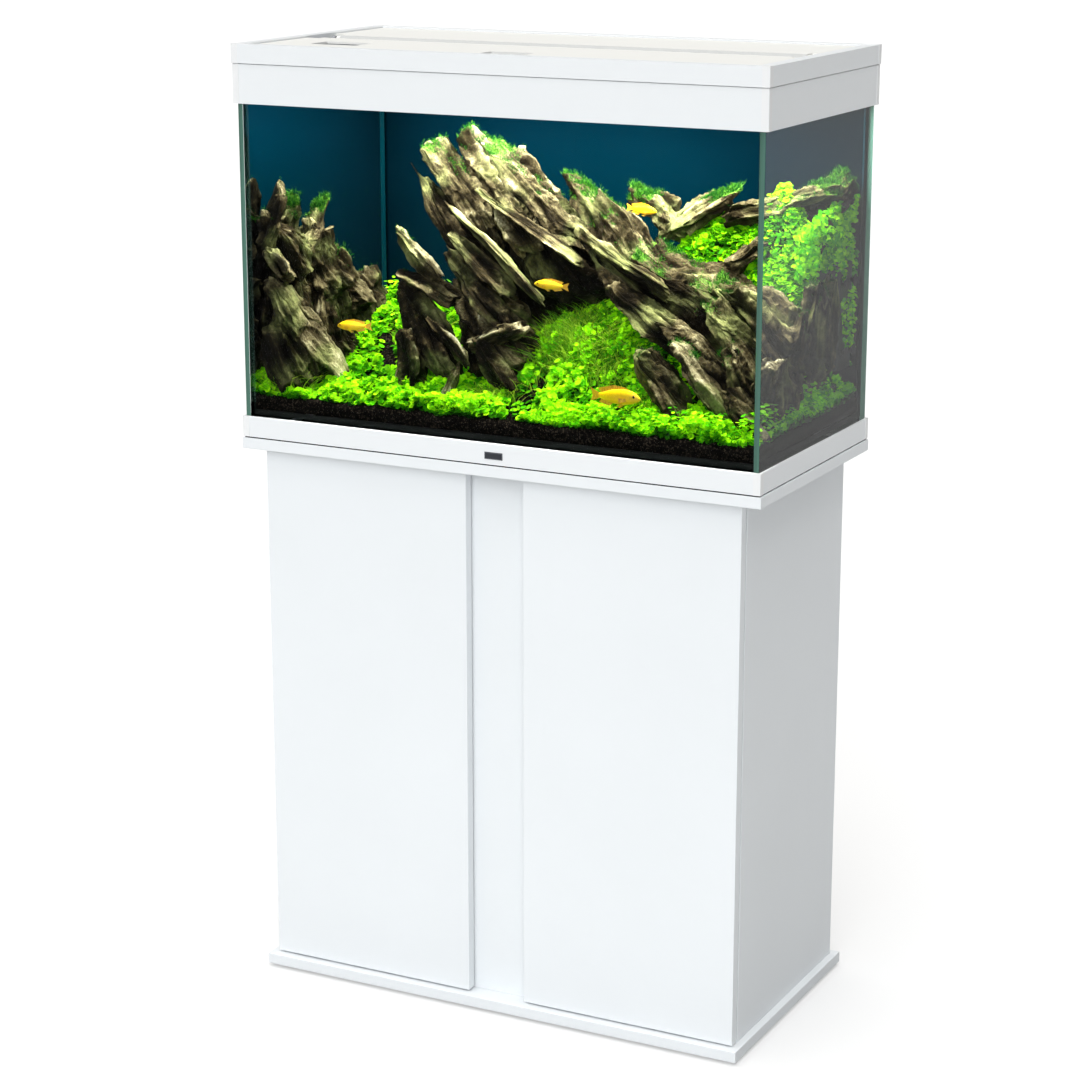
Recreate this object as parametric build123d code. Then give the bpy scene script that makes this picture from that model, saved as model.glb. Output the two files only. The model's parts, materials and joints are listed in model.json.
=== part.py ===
"""An aquarium with a hood on a two-door cabinet, one STEP file per piece.

Millimetres. +Z is up, +X is to the viewer's right, and the front faces -Y.
The origin is on the floor under the middle of the object.
"""
from build123d import *
import os
from math import cos, radians, sin

# ---------------------------------------------------------------- driving dimensions
BOARD = 16.0                # furniture board
GLIDE_HEIGHT = 5.0
BASE_WIDTH, BASE_DEPTH = 768.0, 400.0
BODY_WIDTH = 746.0          # cabinet over its side panels
BODY_FRONT, BODY_BACK = -168.0, 188.0
CARCASS_HEIGHT = 782.0      # between the base plate and the cabinet top
TOP_WIDTH, TOP_DEPTH = 810.0, 400.0

DOOR_FRONT = -187.0
DOOR_INNER_EDGE = 45.0      # from the middle of the cabinet
DOOR_GAP = 2.5              # above and below a door
PIVOT_FROM_EDGE = 5.0       # pivot axis from the door's outer edge
PIVOT_Y = -176.5
PIN_RADIUS = 2.5
RUNNING_GAP = 0.05          # radial clearance of a pin in its bore

CENTRE_PANEL_WIDTH = 140.0
BACK_PANEL_THICKNESS = 8.0
BACK_PANEL_Y = 176.0
SHELF_Z = 400.0

MAT_THICKNESS = 2.0
GLASS = 8.0
GLASS_WIDTH, GLASS_DEPTH = 800.0, 392.0
JOINT = 0.5                 # silicone between two panes
TRIM_WIDTH, TRIM_DEPTH, TRIM_HEIGHT = 807.0, 399.0, 30.0
TRIM_WALL, TRIM_FLANGE, TRIM_FLANGE_WIDTH = 3.0, 2.0, 14.0
TRIM_CORNER, CORNER_PROUD = 10.5, 0.5
VISIBLE_GLASS = 447.0
GLASS_INTO_HOOD = 32.0

HOOD_WIDTH, HOOD_DEPTH, HOOD_HEIGHT = 810.0, 400.0, 55.0
HOOD_WALL, HOOD_WEB = 3.0, 2.5
HOOD_CORNER = 10.5

LID_WIDTH, LID_DEPTH, LID_HEIGHT = 812.0, 403.0, 27.0
LID_GAP = 1.0               # shadow line between the hood frame and the lid
LID_WALL = 2.5
LID_FRONT_FLANGE, LID_SIDE_FLANGE = 15.5, 19.5
LID_CORNER = 11.0
FLAP_BELOW_RAIL = 2.4
FLAP_SKIN, FLAP_RIB_DEPTH, FLAP_RIB = 3.0, 5.6, 2.5
FRONT_FLAP_REAR, REAR_FLAP_FRONT = -21.0, 26.0
HINGE_INSET = 3.5           # flap hinge axis from the flap's edge
HINGE_PIN_RADIUS = 2.0
NOTCH_X = 365.0             # hinge notches lie outside this
FRONT_NOTCH_Y, REAR_NOTCH_Y = -33.0, 46.0

FEED_X, FEED_Y = (-322.0, -248.0), (-128.0, -80.0)
FEED_TRAVEL = 83.0
PULL_X, PULL_Y = (-33.0, 33.0), (-165.0, -127.0)

LED_LENGTH, LED_WIDTH = 746.0, 34.0
LED_ROWS = (-95.0, 75.0)

# ---------------------------------------------------------------- levels
BASE_BOTTOM = GLIDE_HEIGHT
BASE_TOP = BASE_BOTTOM + BOARD
SLAB_BOTTOM = BASE_TOP + CARCASS_HEIGHT
SLAB_TOP = SLAB_BOTTOM + BOARD
TRIM_BOTTOM = SLAB_TOP + MAT_THICKNESS
TRIM_TOP = TRIM_BOTTOM + TRIM_HEIGHT
PANE_BOTTOM = TRIM_BOTTOM + TRIM_FLANGE
FLOOR_PANE_BOTTOM = TRIM_TOP + 1.0
FLOOR_PANE_TOP = FLOOR_PANE_BOTTOM + GLASS
HOOD_BOTTOM = TRIM_TOP + VISIBLE_GLASS
HOOD_TOP = HOOD_BOTTOM + HOOD_HEIGHT
PANE_TOP = HOOD_BOTTOM + GLASS_INTO_HOOD
WEB_BOTTOM = PANE_TOP + JOINT
WEB_TOP = WEB_BOTTOM + HOOD_WEB
LID_BOTTOM = HOOD_TOP + LID_GAP
CORNER_TOP = LID_BOTTOM + LID_HEIGHT
RAIL_TOP = CORNER_TOP - 0.3
FLAP_TOP = RAIL_TOP - FLAP_BELOW_RAIL
SKIN_BOTTOM = FLAP_TOP - FLAP_SKIN
RIB_BOTTOM = SKIN_BOTTOM - FLAP_RIB_DEPTH
HINGE_Z = FLAP_TOP - FLAP_RIB_DEPTH
LEDGE_TOP = RIB_BOTTOM - 0.5
BRIDGE_TOP = RIB_BOTTOM - 2.0

SIDES = (-1, 1)


# ---------------------------------------------------------------- shape helpers
def block(x, y, z):
    """A box from three (low, high) pairs."""
    size = [high - low for low, high in (x, y, z)]
    middle = [(high + low) / 2 for low, high in (x, y, z)]
    return Pos(*middle) * Box(*size)


def board(x, y, z, edge=0.8):
    """A board or plate with its edges slightly rounded."""
    plate = block(x, y, z)
    return fillet(plate.edges(), edge)


def span(a, b):
    """The two ends of a stretch, low end first."""
    return (min(a, b), max(a, b))


def rod_x(x, y, z, radius):
    """A round bar along X between the two ends x."""
    return Pos((x[0] + x[1]) / 2, y, z) * Rot(0, 90, 0) * Cylinder(radius, x[1] - x[0])


def rod_y(x, y, z, radius):
    """A round bar along Y between the two ends y."""
    return Pos(x, (y[0] + y[1]) / 2, z) * Rot(90, 0, 0) * Cylinder(radius, y[1] - y[0])


def rod_z(x, y, z, radius):
    """A round bar along Z between the two ends z."""
    return Pos(x, y, (z[0] + z[1]) / 2) * Cylinder(radius, z[1] - z[0])


def prism_x(outline, x):
    """A (y, z) outline drawn out along X."""
    face = Plane.YZ * make_face(Polyline(*outline, close=True))
    return Pos(x[0], 0, 0) * extrude(face, amount=x[1] - x[0])


def prism_y(outline, y):
    """An (x, z) outline drawn out along Y."""
    face = Plane.XZ * make_face(Polyline(*outline, close=True))
    return Pos(0, y[1], 0) * extrude(face, amount=y[1] - y[0])


def prism_z(outline, z):
    """An (x, y) outline drawn out along Z."""
    face = make_face(Polyline(*outline, close=True))
    return Pos(0, 0, z[0]) * extrude(face, amount=z[1] - z[0])


def flip_x(shape):
    """The same shape on the other side, left for right."""
    return mirror(shape, Plane.YZ)


def flip_y(shape):
    """The same shape on the other side, front for back."""
    return mirror(shape, Plane.XZ)


def at_corners(shape):
    """The shape at all four corners."""
    pair = [shape, flip_x(shape)]
    return pair + [flip_y(one) for one in pair]


def outermost_upright(shape):
    """The vertical edge that is furthest out towards +X and +Y."""
    uprights = shape.edges().filter_by(Axis.Z)
    return uprights.sort_by(lambda edge: edge.center().X + edge.center().Y)[-1]


def save(name, *solids):
    """Write one node, a single solid or a group of separate ones."""
    shape = solids[0] if len(solids) == 1 else Compound(children=list(solids))
    export_step(shape, f"parts/{name}.step")


# ---------------------------------------------------------------- cabinet
HALF_BODY = BODY_WIDTH / 2
INNER_X = HALF_BODY - BOARD
CARCASS = (BASE_TOP, SLAB_BOTTOM)
DOOR_BACK = DOOR_FRONT + BOARD
DOOR_Z = (BASE_TOP + DOOR_GAP, SLAB_BOTTOM - DOOR_GAP)
PIVOT_X = HALF_BODY - PIVOT_FROM_EDGE
PIN_INTO_BOARD, PIN_INTO_DOOR = 10.0, 12.0
BUSH_RADIUS, BUSH_LENGTH, FLANGE_RADIUS, FLANGE_HEIGHT = 4.0, 14.0, 4.6, 2.2
HOSE_HOLE_X, HOSE_HOLE_Z = (130.0, 250.0), (650.0, 730.0)
PIN_ROWS_Y = (-90.0, 130.0)
SHELF_PIN_RADIUS, SHELF_PIN_DEPTH, SHELF_PIN_REACH = 2.5, 8.0, 10.0
MAGNET_X, MAGNET_Z, MAGNET_RADIUS = 58.0, 412.0, 5.0


def pivot_bore(side, z, radius):
    """A round hole or pin on a door's pivot axis."""
    return rod_z(side * PIVOT_X, PIVOT_Y, z, radius)


def build_base():
    glides = [
        rod_z(x, y, (0, GLIDE_HEIGHT), 20)
        for x in (-345, 0, 345)
        for y in (-165, 165)
    ]
    save("glides", *[chamfer(g.edges().group_by(Axis.Z)[0], 1) for g in glides])
    plate = board(
        (-BASE_WIDTH / 2, BASE_WIDTH / 2),
        (-BASE_DEPTH / 2, BASE_DEPTH / 2),
        (BASE_BOTTOM, BASE_TOP),
    )
    for side in SIDES:
        hole_z = (BASE_TOP - PIN_INTO_BOARD, BASE_TOP + 1)
        plate -= pivot_bore(side, hole_z, PIN_RADIUS + RUNNING_GAP)
    save("base_plate", plate)


def shelf_pin_bars(side_x, outward, gap):
    """The four-to-a-shelf pins on one upright; outward points into the compartment."""
    start, end = side_x - outward * SHELF_PIN_DEPTH, side_x + outward * SHELF_PIN_REACH
    z = SHELF_Z - SHELF_PIN_RADIUS - RUNNING_GAP
    return [rod_x(span(start, end), y, z, SHELF_PIN_RADIUS + gap) for y in PIN_ROWS_Y]


def build_carcass():
    for side, name in zip(SIDES, ("left_side_panel", "right_side_panel")):
        panel = board(span(side * INNER_X, side * HALF_BODY), (BODY_FRONT, BODY_BACK), CARCASS)
        if side > 0:
            for hole in shelf_pin_bars(INNER_X, -1, RUNNING_GAP):
                panel -= hole
        save(name, panel)

    back_y = (BACK_PANEL_Y, BACK_PANEL_Y + BACK_PANEL_THICKNESS)
    back = block((-INNER_X, INNER_X), back_y, CARCASS)
    for side in SIDES:
        hole_x = span(side * HOSE_HOLE_X[0], side * HOSE_HOLE_X[1])
        hole = block(hole_x, (back_y[0] - 2, back_y[1] + 2), HOSE_HOLE_Z)
        back -= fillet(hole.edges().filter_by(Axis.Y), 20)
    save("cabinet_back", back)

    panel_y = (BODY_FRONT, BODY_FRONT + BOARD)
    centre = board((-CENTRE_PANEL_WIDTH / 2, CENTRE_PANEL_WIDTH / 2), panel_y, CARCASS)
    for side in SIDES:
        pocket_y = (BODY_FRONT - 1, BODY_FRONT + 4)
        centre -= rod_y(side * MAGNET_X, pocket_y, MAGNET_Z, MAGNET_RADIUS + RUNNING_GAP)
    save("centre_panel", centre)

    divider = block((-BOARD / 2, BOARD / 2), (panel_y[1], BACK_PANEL_Y), CARCASS)
    for hole in shelf_pin_bars(BOARD / 2, 1, RUNNING_GAP):
        divider -= hole
    save("centre_divider", divider)
    save("shelf", board((BOARD / 2, INNER_X), (-120, 160), (SHELF_Z, SHELF_Z + BOARD)))
    pins = shelf_pin_bars(INNER_X, -1, 0) + shelf_pin_bars(BOARD / 2, 1, 0)
    save("shelf_pins", *pins)

    top = board(
        (-TOP_WIDTH / 2, TOP_WIDTH / 2), (-TOP_DEPTH / 2, TOP_DEPTH / 2), (SLAB_BOTTOM, SLAB_TOP)
    )
    for side in SIDES:
        hole_z = (SLAB_BOTTOM - 1, SLAB_BOTTOM + PIN_INTO_BOARD)
        top -= pivot_bore(side, hole_z, PIN_RADIUS + RUNNING_GAP)
    save("cabinet_top", top)


def build_door(side, name):
    """A full-height door on two pivot pins near its outer edge, and what goes with it."""
    x = span(side * DOOR_INNER_EDGE, side * HALF_BODY)
    door = board(x, (DOOR_FRONT, DOOR_BACK), DOOR_Z)
    low, high = DOOR_Z
    bush_spans = [(low, low + BUSH_LENGTH), (high - BUSH_LENGTH, high)]
    flange_spans = [(low - FLANGE_HEIGHT, low), (high, high + FLANGE_HEIGHT)]
    bore_spans = [(low - 5, low + BUSH_LENGTH), (high - BUSH_LENGTH, high + 5)]
    bushes = []
    for bush_z, flange_z, bore_z in zip(bush_spans, flange_spans, bore_spans):
        door -= pivot_bore(side, bush_z, BUSH_RADIUS)
        sleeve = pivot_bore(side, bush_z, BUSH_RADIUS) + pivot_bore(side, flange_z, FLANGE_RADIUS)
        bushes.append(sleeve - pivot_bore(side, bore_z, PIN_RADIUS + RUNNING_GAP))
    strike_y = (DOOR_BACK - 1.5, DOOR_BACK)
    strike_radius = MAGNET_RADIUS + 2
    door -= rod_y(side * MAGNET_X, (strike_y[0], DOOR_BACK + 1), MAGNET_Z, strike_radius)
    save(f"{name}_door", door)
    save(f"{name}_pivot_bushes", *bushes)
    save(f"{name}_strike", rod_y(side * MAGNET_X, strike_y, MAGNET_Z, strike_radius))


def build_door_pins():
    """Four identical pins: one in the base and one in the top, on the outer side of each door."""
    low, high = DOOR_Z
    pin_spans = [
        (BASE_TOP - PIN_INTO_BOARD, low + PIN_INTO_DOOR),
        (high - PIN_INTO_DOOR, SLAB_BOTTOM + PIN_INTO_BOARD),
    ]
    save("door_pivot_pins", *[pivot_bore(side, z, PIN_RADIUS) for side in SIDES for z in pin_spans])


def build_door_stops():
    pad_y = (DOOR_BACK + 0.3, BODY_FRONT)
    pads = [rod_y(side * MAGNET_X, pad_y, z, 4) for side in SIDES for z in (60, 760)]
    save("door_bumpers", *pads)
    magnet_y = (BODY_FRONT - 2.4, BODY_FRONT + 4)
    save("door_magnets", *[rod_y(s * MAGNET_X, magnet_y, MAGNET_Z, MAGNET_RADIUS) for s in SIDES])


# ---------------------------------------------------------------- glass tank
HALF_GLASS_X, HALF_GLASS_Y = GLASS_WIDTH / 2, GLASS_DEPTH / 2
IN_X, IN_Y = HALF_GLASS_X - GLASS, HALF_GLASS_Y - GLASS
PANES_Z = (PANE_BOTTOM, PANE_TOP)


def build_panes():
    for side, name in zip(SIDES, ("left_pane", "right_pane")):
        x = span(side * IN_X, side * HALF_GLASS_X)
        save(name, board(x, (-HALF_GLASS_Y, HALF_GLASS_Y), PANES_Z, 0.6))
    for side, name in zip(SIDES, ("front_pane", "back_pane")):
        y = span(side * IN_Y, side * HALF_GLASS_Y)
        save(name, block((-IN_X + JOINT, IN_X - JOINT), y, PANES_Z))
    edge_x, edge_y = IN_X - JOINT, IN_Y - JOINT
    floor_z = (FLOOR_PANE_BOTTOM, FLOOR_PANE_TOP)
    save("bottom_pane", block((-edge_x, edge_x), (-edge_y, edge_y), floor_z))


def build_seams():
    """Silicone between the panes, and a fillet bead up each inner corner."""
    bead = 4.0
    upright = block((IN_X - JOINT, IN_X), (IN_Y, HALF_GLASS_Y), PANES_Z)
    bead_outline = [(IN_X, IN_Y), (IN_X - bead, IN_Y), (IN_X, IN_Y - bead)]
    bead_solid = prism_z(bead_outline, (FLOOR_PANE_TOP, PANE_TOP - 4))
    floor_z = (FLOOR_PANE_BOTTOM, FLOOR_PANE_TOP)
    side_strip = block((IN_X - JOINT, IN_X), (-IN_Y + JOINT, IN_Y - JOINT), floor_z)
    long_strip = block((-IN_X + JOINT, IN_X - JOINT), (IN_Y - JOINT, IN_Y), floor_z)
    save(
        "silicone_seams",
        *at_corners(upright),
        *at_corners(bead_solid),
        side_strip,
        flip_x(side_strip),
        long_strip,
        flip_y(long_strip),
    )


def build_trim():
    """The frame round the tank's foot: four angle profiles and four corner pieces."""
    save("support_mat", block((-400, 400), (-196, 196), (SLAB_TOP, TRIM_BOTTOM)))
    outer_x, outer_y = TRIM_WIDTH / 2, TRIM_DEPTH / 2
    wall_x, wall_y = outer_x - TRIM_WALL, outer_y - TRIM_WALL
    corner_x, corner_y = outer_x + CORNER_PROUD, outer_y + CORNER_PROUD
    end_x, end_y = corner_x - TRIM_CORNER, corner_y - TRIM_CORNER
    lip_x, lip_y = outer_x - TRIM_FLANGE_WIDTH - TRIM_WALL, outer_y - TRIM_FLANGE_WIDTH
    wall_z, flange_z = (TRIM_BOTTOM, TRIM_TOP), (TRIM_BOTTOM, PANE_BOTTOM)
    rim = 0.7

    long_outline = [
        (outer_y, TRIM_BOTTOM),
        (outer_y, TRIM_TOP - rim),
        (outer_y - rim, TRIM_TOP),
        (wall_y, TRIM_TOP),
        (wall_y, PANE_BOTTOM),
        (lip_y, PANE_BOTTOM),
        (lip_y, TRIM_BOTTOM),
    ]
    back = prism_x(long_outline, (-end_x, end_x))
    save("base_trim_long", flip_y(back), back)

    side = block((wall_x, outer_x), (-end_y, end_y), wall_z)
    side += block((lip_x, wall_x), (-lip_y, lip_y), flange_z)
    top_edge = side.edges().filter_by(Axis.Y).group_by(Axis.Z)[-1].sort_by(Axis.X)[-1]
    side = chamfer(top_edge, rim)
    save("base_trim_sides", side, flip_x(side))

    corner = block((end_x, corner_x), (end_y, corner_y), wall_z)
    corner = fillet(outermost_upright(corner), 1.5)
    corner -= block((end_x - 1, wall_x), (end_y - 1, wall_y), wall_z)
    corner += block((end_x, wall_x), (lip_y, wall_y), flange_z)
    save("base_trim_corners", *at_corners(corner))

    badge = block((-8, 20), (-outer_y - 0.8, -outer_y), (TRIM_BOTTOM + 7.7, TRIM_BOTTOM + 17.7))
    front_face = badge.faces().sort_by(Axis.Y)[0]
    save("badge_plate", chamfer(front_face.edges(), 0.3))
    film_y = (HALF_GLASS_Y, HALF_GLASS_Y + 0.5)
    save("backdrop_film", block((-391, 391), film_y, (FLOOR_PANE_BOTTOM, HOOD_BOTTOM - 1)))


# ---------------------------------------------------------------- hood frame
HOOD_X, HOOD_Y = HOOD_WIDTH / 2, HOOD_DEPTH / 2
HOOD_Z = (HOOD_BOTTOM, HOOD_TOP)
WEB_IN_X, WEB_IN_Y = HOOD_X - 20, HOOD_Y - 20
LIP_BOTTOM = WEB_BOTTOM - 12.5
CABLE_SLOT_X, CABLE_SLOT_Z = (240.0, 320.0), (WEB_TOP + 2, HOOD_TOP - 7)


def hood_wall_outline(face, web_in):
    """Outer wall and the web that sits over the glass rim, as (offset, z) points."""
    inner = face - HOOD_WALL
    return [
        (face, HOOD_BOTTOM),
        (face, HOOD_TOP),
        (inner, HOOD_TOP),
        (inner, WEB_TOP),
        (web_in, WEB_TOP),
        (web_in, WEB_BOTTOM),
        (inner, WEB_BOTTOM),
        (inner, HOOD_BOTTOM),
    ]


def build_hood_frame():
    corner_x, corner_y = HOOD_X + CORNER_PROUD, HOOD_Y + CORNER_PROUD
    end_x, end_y = corner_x - HOOD_CORNER, corner_y - HOOD_CORNER
    inner_x, inner_y = HOOD_X - HOOD_WALL, HOOD_Y - HOOD_WALL
    lip_z = (LIP_BOTTOM, WEB_BOTTOM)

    back = prism_x(hood_wall_outline(HOOD_Y, WEB_IN_Y), (-end_x, end_x))
    back += block((-WEB_IN_X, WEB_IN_X), (WEB_IN_Y, WEB_IN_Y + HOOD_WEB), lip_z)
    save("hood_front_profile", flip_y(back))
    slot = block(CABLE_SLOT_X, (inner_y - 2, HOOD_Y + 2), CABLE_SLOT_Z)
    save("hood_back_profile", back - fillet(slot.edges().filter_by(Axis.Y), 3))

    side = block((inner_x, HOOD_X), (-end_y, end_y), HOOD_Z)
    side += block((WEB_IN_X, inner_x), (-WEB_IN_Y, WEB_IN_Y), (WEB_BOTTOM, WEB_TOP))
    side += block((WEB_IN_X, WEB_IN_X + HOOD_WEB), (-WEB_IN_Y, WEB_IN_Y), lip_z)
    save("hood_side_profiles", side, flip_x(side))

    corner = block((end_x, corner_x), (end_y, corner_y), HOOD_Z)
    corner = fillet(outermost_upright(corner), 1.5)
    corner -= block((end_x - 1, inner_x), (end_y - 1, inner_y), HOOD_Z)
    corner += block((end_x, inner_x), (WEB_IN_Y, inner_y), (WEB_BOTTOM, WEB_TOP))
    save("hood_corners", *at_corners(corner))


def build_lights():
    """Two light bars across the tank, each hung between two end holders."""
    half = LED_LENGTH / 2
    housing_z, diffuser_z = (HOOD_BOTTOM + 8, HOOD_BOTTOM + 20), (HOOD_BOTTOM + 4, HOOD_BOTTOM + 8)
    housings, diffusers, holders = [], [], []
    for y in LED_ROWS:
        bar = block((-half, half), (y - LED_WIDTH / 2, y + LED_WIDTH / 2), housing_z)
        bar = fillet(bar.edges().filter_by(Axis.X).group_by(Axis.Z)[-1], 4)
        for fin in range(-2, 3):
            groove_y = (y + fin * 5 - 1, y + fin * 5 + 1)
            bar -= block((-half - 1, half + 1), groove_y, (housing_z[1] - 3, housing_z[1] + 1))
        housings.append(bar)
        strip = block((-half, half), (y - LED_WIDTH / 2 + 4, y + LED_WIDTH / 2 - 4), diffuser_z)
        diffusers.append(fillet(strip.edges().filter_by(Axis.X).group_by(Axis.Z)[0], 1.5))
        holder = block((half, WEB_IN_X), (y - 19, y + 19), (HOOD_BOTTOM + 2, WEB_BOTTOM - 1))
        holder = fillet(holder.edges().filter_by(Axis.X), 4)
        holders += [holder, flip_x(holder)]
    save("led_housings", *housings)
    save("led_diffusers", *diffusers)
    save("led_holders", *holders)


# ---------------------------------------------------------------- lid with two flaps
LID_X, LID_Y = LID_WIDTH / 2, LID_DEPTH / 2
OPEN_X, OPEN_Y = LID_X - LID_SIDE_FLANGE, LID_Y - LID_FRONT_FLANGE
LID_LIP_BOTTOM = LID_BOTTOM - 8
LEDGE_BOTTOM = LEDGE_TOP - 3.5
LEDGE_REACH = 8.0
LIP_GAP, LIP = 0.5, 2.0
FRONT_AXIS_Y = FRONT_FLAP_REAR - HINGE_INSET
REAR_AXIS_Y = REAR_FLAP_FRONT + HINGE_INSET
BRIDGE_Y = (FRONT_FLAP_REAR - 11, REAR_FLAP_FRONT + 11)
LUG_X, TONGUE_X = (373.0, 379.0), (366.0, 372.0)


def lid_outline(face, opening, lip_outer):
    """A lid rail's section as (offset, z): outer wall, flange, inner wall, ledge, locating lip."""
    wall_in, inner_wall = face - LID_WALL, opening + LID_WALL
    lip_inner = lip_outer - LIP
    return [
        (face, LID_BOTTOM),
        (face, RAIL_TOP),
        (opening, RAIL_TOP),
        (opening, LEDGE_TOP),
        (opening - LEDGE_REACH, LEDGE_TOP),
        (opening - LEDGE_REACH, LEDGE_BOTTOM),
        (inner_wall, LEDGE_BOTTOM),
        (inner_wall, RAIL_TOP - LID_WALL),
        (wall_in, RAIL_TOP - LID_WALL),
        (wall_in, LID_BOTTOM + LIP),
        (lip_inner, LID_BOTTOM + LIP),
        (lip_inner, LID_LIP_BOTTOM),
        (lip_outer, LID_LIP_BOTTOM),
        (lip_outer, LID_BOTTOM),
    ]


def build_lid_ring():
    corner_x, corner_y = LID_X + CORNER_PROUD, LID_Y + CORNER_PROUD
    end_x, end_y = corner_x - LID_CORNER, corner_y - LID_CORNER
    wall_in_x, wall_in_y = LID_X - LID_WALL, LID_Y - LID_WALL
    lip_y, lip_x = HOOD_Y - HOOD_WALL - LIP_GAP, HOOD_X - HOOD_WALL - LIP_GAP
    lip_z, foot_z = (LID_LIP_BOTTOM, LID_BOTTOM + LIP), (LID_BOTTOM, LID_BOTTOM + LIP)

    back = prism_x(lid_outline(LID_Y, OPEN_Y, lip_y), (-OPEN_X, OPEN_X))
    for ends in ((-end_x, -OPEN_X), (OPEN_X, end_x)):
        back += block(ends, (wall_in_y, LID_Y), (LID_BOTTOM, RAIL_TOP))
        back += block(ends, (lip_y - LIP, lip_y), lip_z)
        back += block(ends, (lip_y, wall_in_y), foot_z)
    save("lid_back_rail", back)
    save("lid_front_rail", flip_y(back))

    side = block((wall_in_x, LID_X), (-end_y, end_y), (LID_BOTTOM, RAIL_TOP))
    side += block((OPEN_X, wall_in_x), (-OPEN_Y, OPEN_Y), (RAIL_TOP - LID_WALL, RAIL_TOP))
    side += block((OPEN_X, OPEN_X + LID_WALL), (-OPEN_Y, OPEN_Y), (LEDGE_BOTTOM, RAIL_TOP - LID_WALL))
    side += block((lip_x - LIP, lip_x), (-end_y, end_y), lip_z)
    side += block((lip_x, wall_in_x), (-end_y, end_y), foot_z)
    ledge_z = (LEDGE_BOTTOM, LEDGE_TOP)
    ledge_ends = (-OPEN_Y + LEDGE_REACH, BRIDGE_Y[0] - 2), (BRIDGE_Y[1] + 2, OPEN_Y - LEDGE_REACH)
    for ledge_y in ledge_ends:
        side += block((OPEN_X - 6, OPEN_X), ledge_y, ledge_z)
    save("lid_side_rails", side, flip_x(side))

    corner = block((end_x, corner_x), (end_y, corner_y), (LID_BOTTOM, CORNER_TOP))
    corner -= block((end_x - 1, wall_in_x), (end_y - 1, wall_in_y), (LID_BOTTOM, CORNER_TOP))
    cap = [
        (OPEN_X, OPEN_Y),
        (OPEN_X, wall_in_y),
        (end_x, wall_in_y),
        (end_x, corner_y),
        (corner_x, corner_y),
        (corner_x, end_y),
        (wall_in_x, end_y),
        (wall_in_x, OPEN_Y),
    ]
    corner += prism_z(cap, (RAIL_TOP - LID_WALL, CORNER_TOP))
    outer = [e for e in corner.edges().filter_by(Axis.Z) if e.center().X > corner_x - 0.1]
    outer = [e for e in outer if e.center().Y > corner_y - 0.1]
    corner = fillet(outer, 1.5)
    corner += block((end_x + 1, wall_in_x), (wall_in_y - 1.5, wall_in_y), (HOOD_TOP, LID_BOTTOM + 6))
    save("lid_corners", *at_corners(corner))


def build_bridge():
    """The crosspiece under the slot between the flaps, with the flaps' hinge lugs."""
    wall = 2.5
    bridge_z = (BRIDGE_TOP - 12, BRIDGE_TOP)
    bridge = block((-OPEN_X, OPEN_X), BRIDGE_Y, bridge_z)
    hollow_y = (BRIDGE_Y[0] + wall, BRIDGE_Y[1] - wall)
    bridge -= block((-OPEN_X + wall, OPEN_X - wall), hollow_y, (bridge_z[0] - 1, BRIDGE_TOP - 3))
    for side in SIDES:
        lug_x = span(side * LUG_X[0], side * LUG_X[1])
        for axis_y in (FRONT_AXIS_Y, REAR_AXIS_Y):
            lug = block(lug_x, (axis_y - 6.5, axis_y + 6.5), (BRIDGE_TOP, HINGE_Z + 4))
            lug = fillet(lug.edges().filter_by(Axis.X).group_by(Axis.Z)[-1], 3)
            hole_x = (lug_x[0] - 1, lug_x[1] + 1)
            lug -= rod_x(hole_x, axis_y, HINGE_Z, HINGE_PIN_RADIUS + RUNNING_GAP)
            bridge += lug
    save("lid_bridge", bridge)
    pins = []
    for side in SIDES:
        pin_x = span(side * (TONGUE_X[0] - 0.5), side * (LUG_X[1] + 1))
        pins += [rod_x(pin_x, y, HINGE_Z, HINGE_PIN_RADIUS) for y in (FRONT_AXIS_Y, REAR_AXIS_Y)]
    save("flap_hinge_pins", *pins)


def flap_shell(outer_y, hinge_y, notch_y):
    """A flap's skin and the ribs under its edges, with a notch for a hinge at each end."""
    edge_x = OPEN_X - 1
    toward_hinge = 1 if hinge_y > outer_y else -1

    def outline(inset):
        x, notch_x = edge_x - inset, NOTCH_X - inset
        outer, hinge = outer_y + toward_hinge * inset, hinge_y - toward_hinge * inset
        notch = notch_y - toward_hinge * inset
        return [
            (-x, outer),
            (x, outer),
            (x, notch),
            (notch_x, notch),
            (notch_x, hinge),
            (-notch_x, hinge),
            (-notch_x, notch),
            (-x, notch),
        ]

    shell = prism_z(outline(0), (RIB_BOTTOM, FLAP_TOP))
    shell -= prism_z(outline(FLAP_RIB), (RIB_BOTTOM - 1, SKIN_BOTTOM))
    return shell


def add_tongues(flap, axis_y, reach_y):
    """The flap's own hinge lugs, in its end notches, bored for the hinge pins."""
    for side in SIDES:
        tongue_x = span(side * TONGUE_X[0], side * TONGUE_X[1])
        hole_x = (tongue_x[0] - 0.9, tongue_x[1] + 0.9)
        tip = rod_x(tongue_x, axis_y, HINGE_Z, 4)
        arm = block(tongue_x, span(axis_y, reach_y), (HINGE_Z - 3, HINGE_Z + 4))
        flap += tip + arm
        flap -= rod_x(hole_x, axis_y, HINGE_Z, HINGE_PIN_RADIUS + RUNNING_GAP)
    return flap


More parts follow.
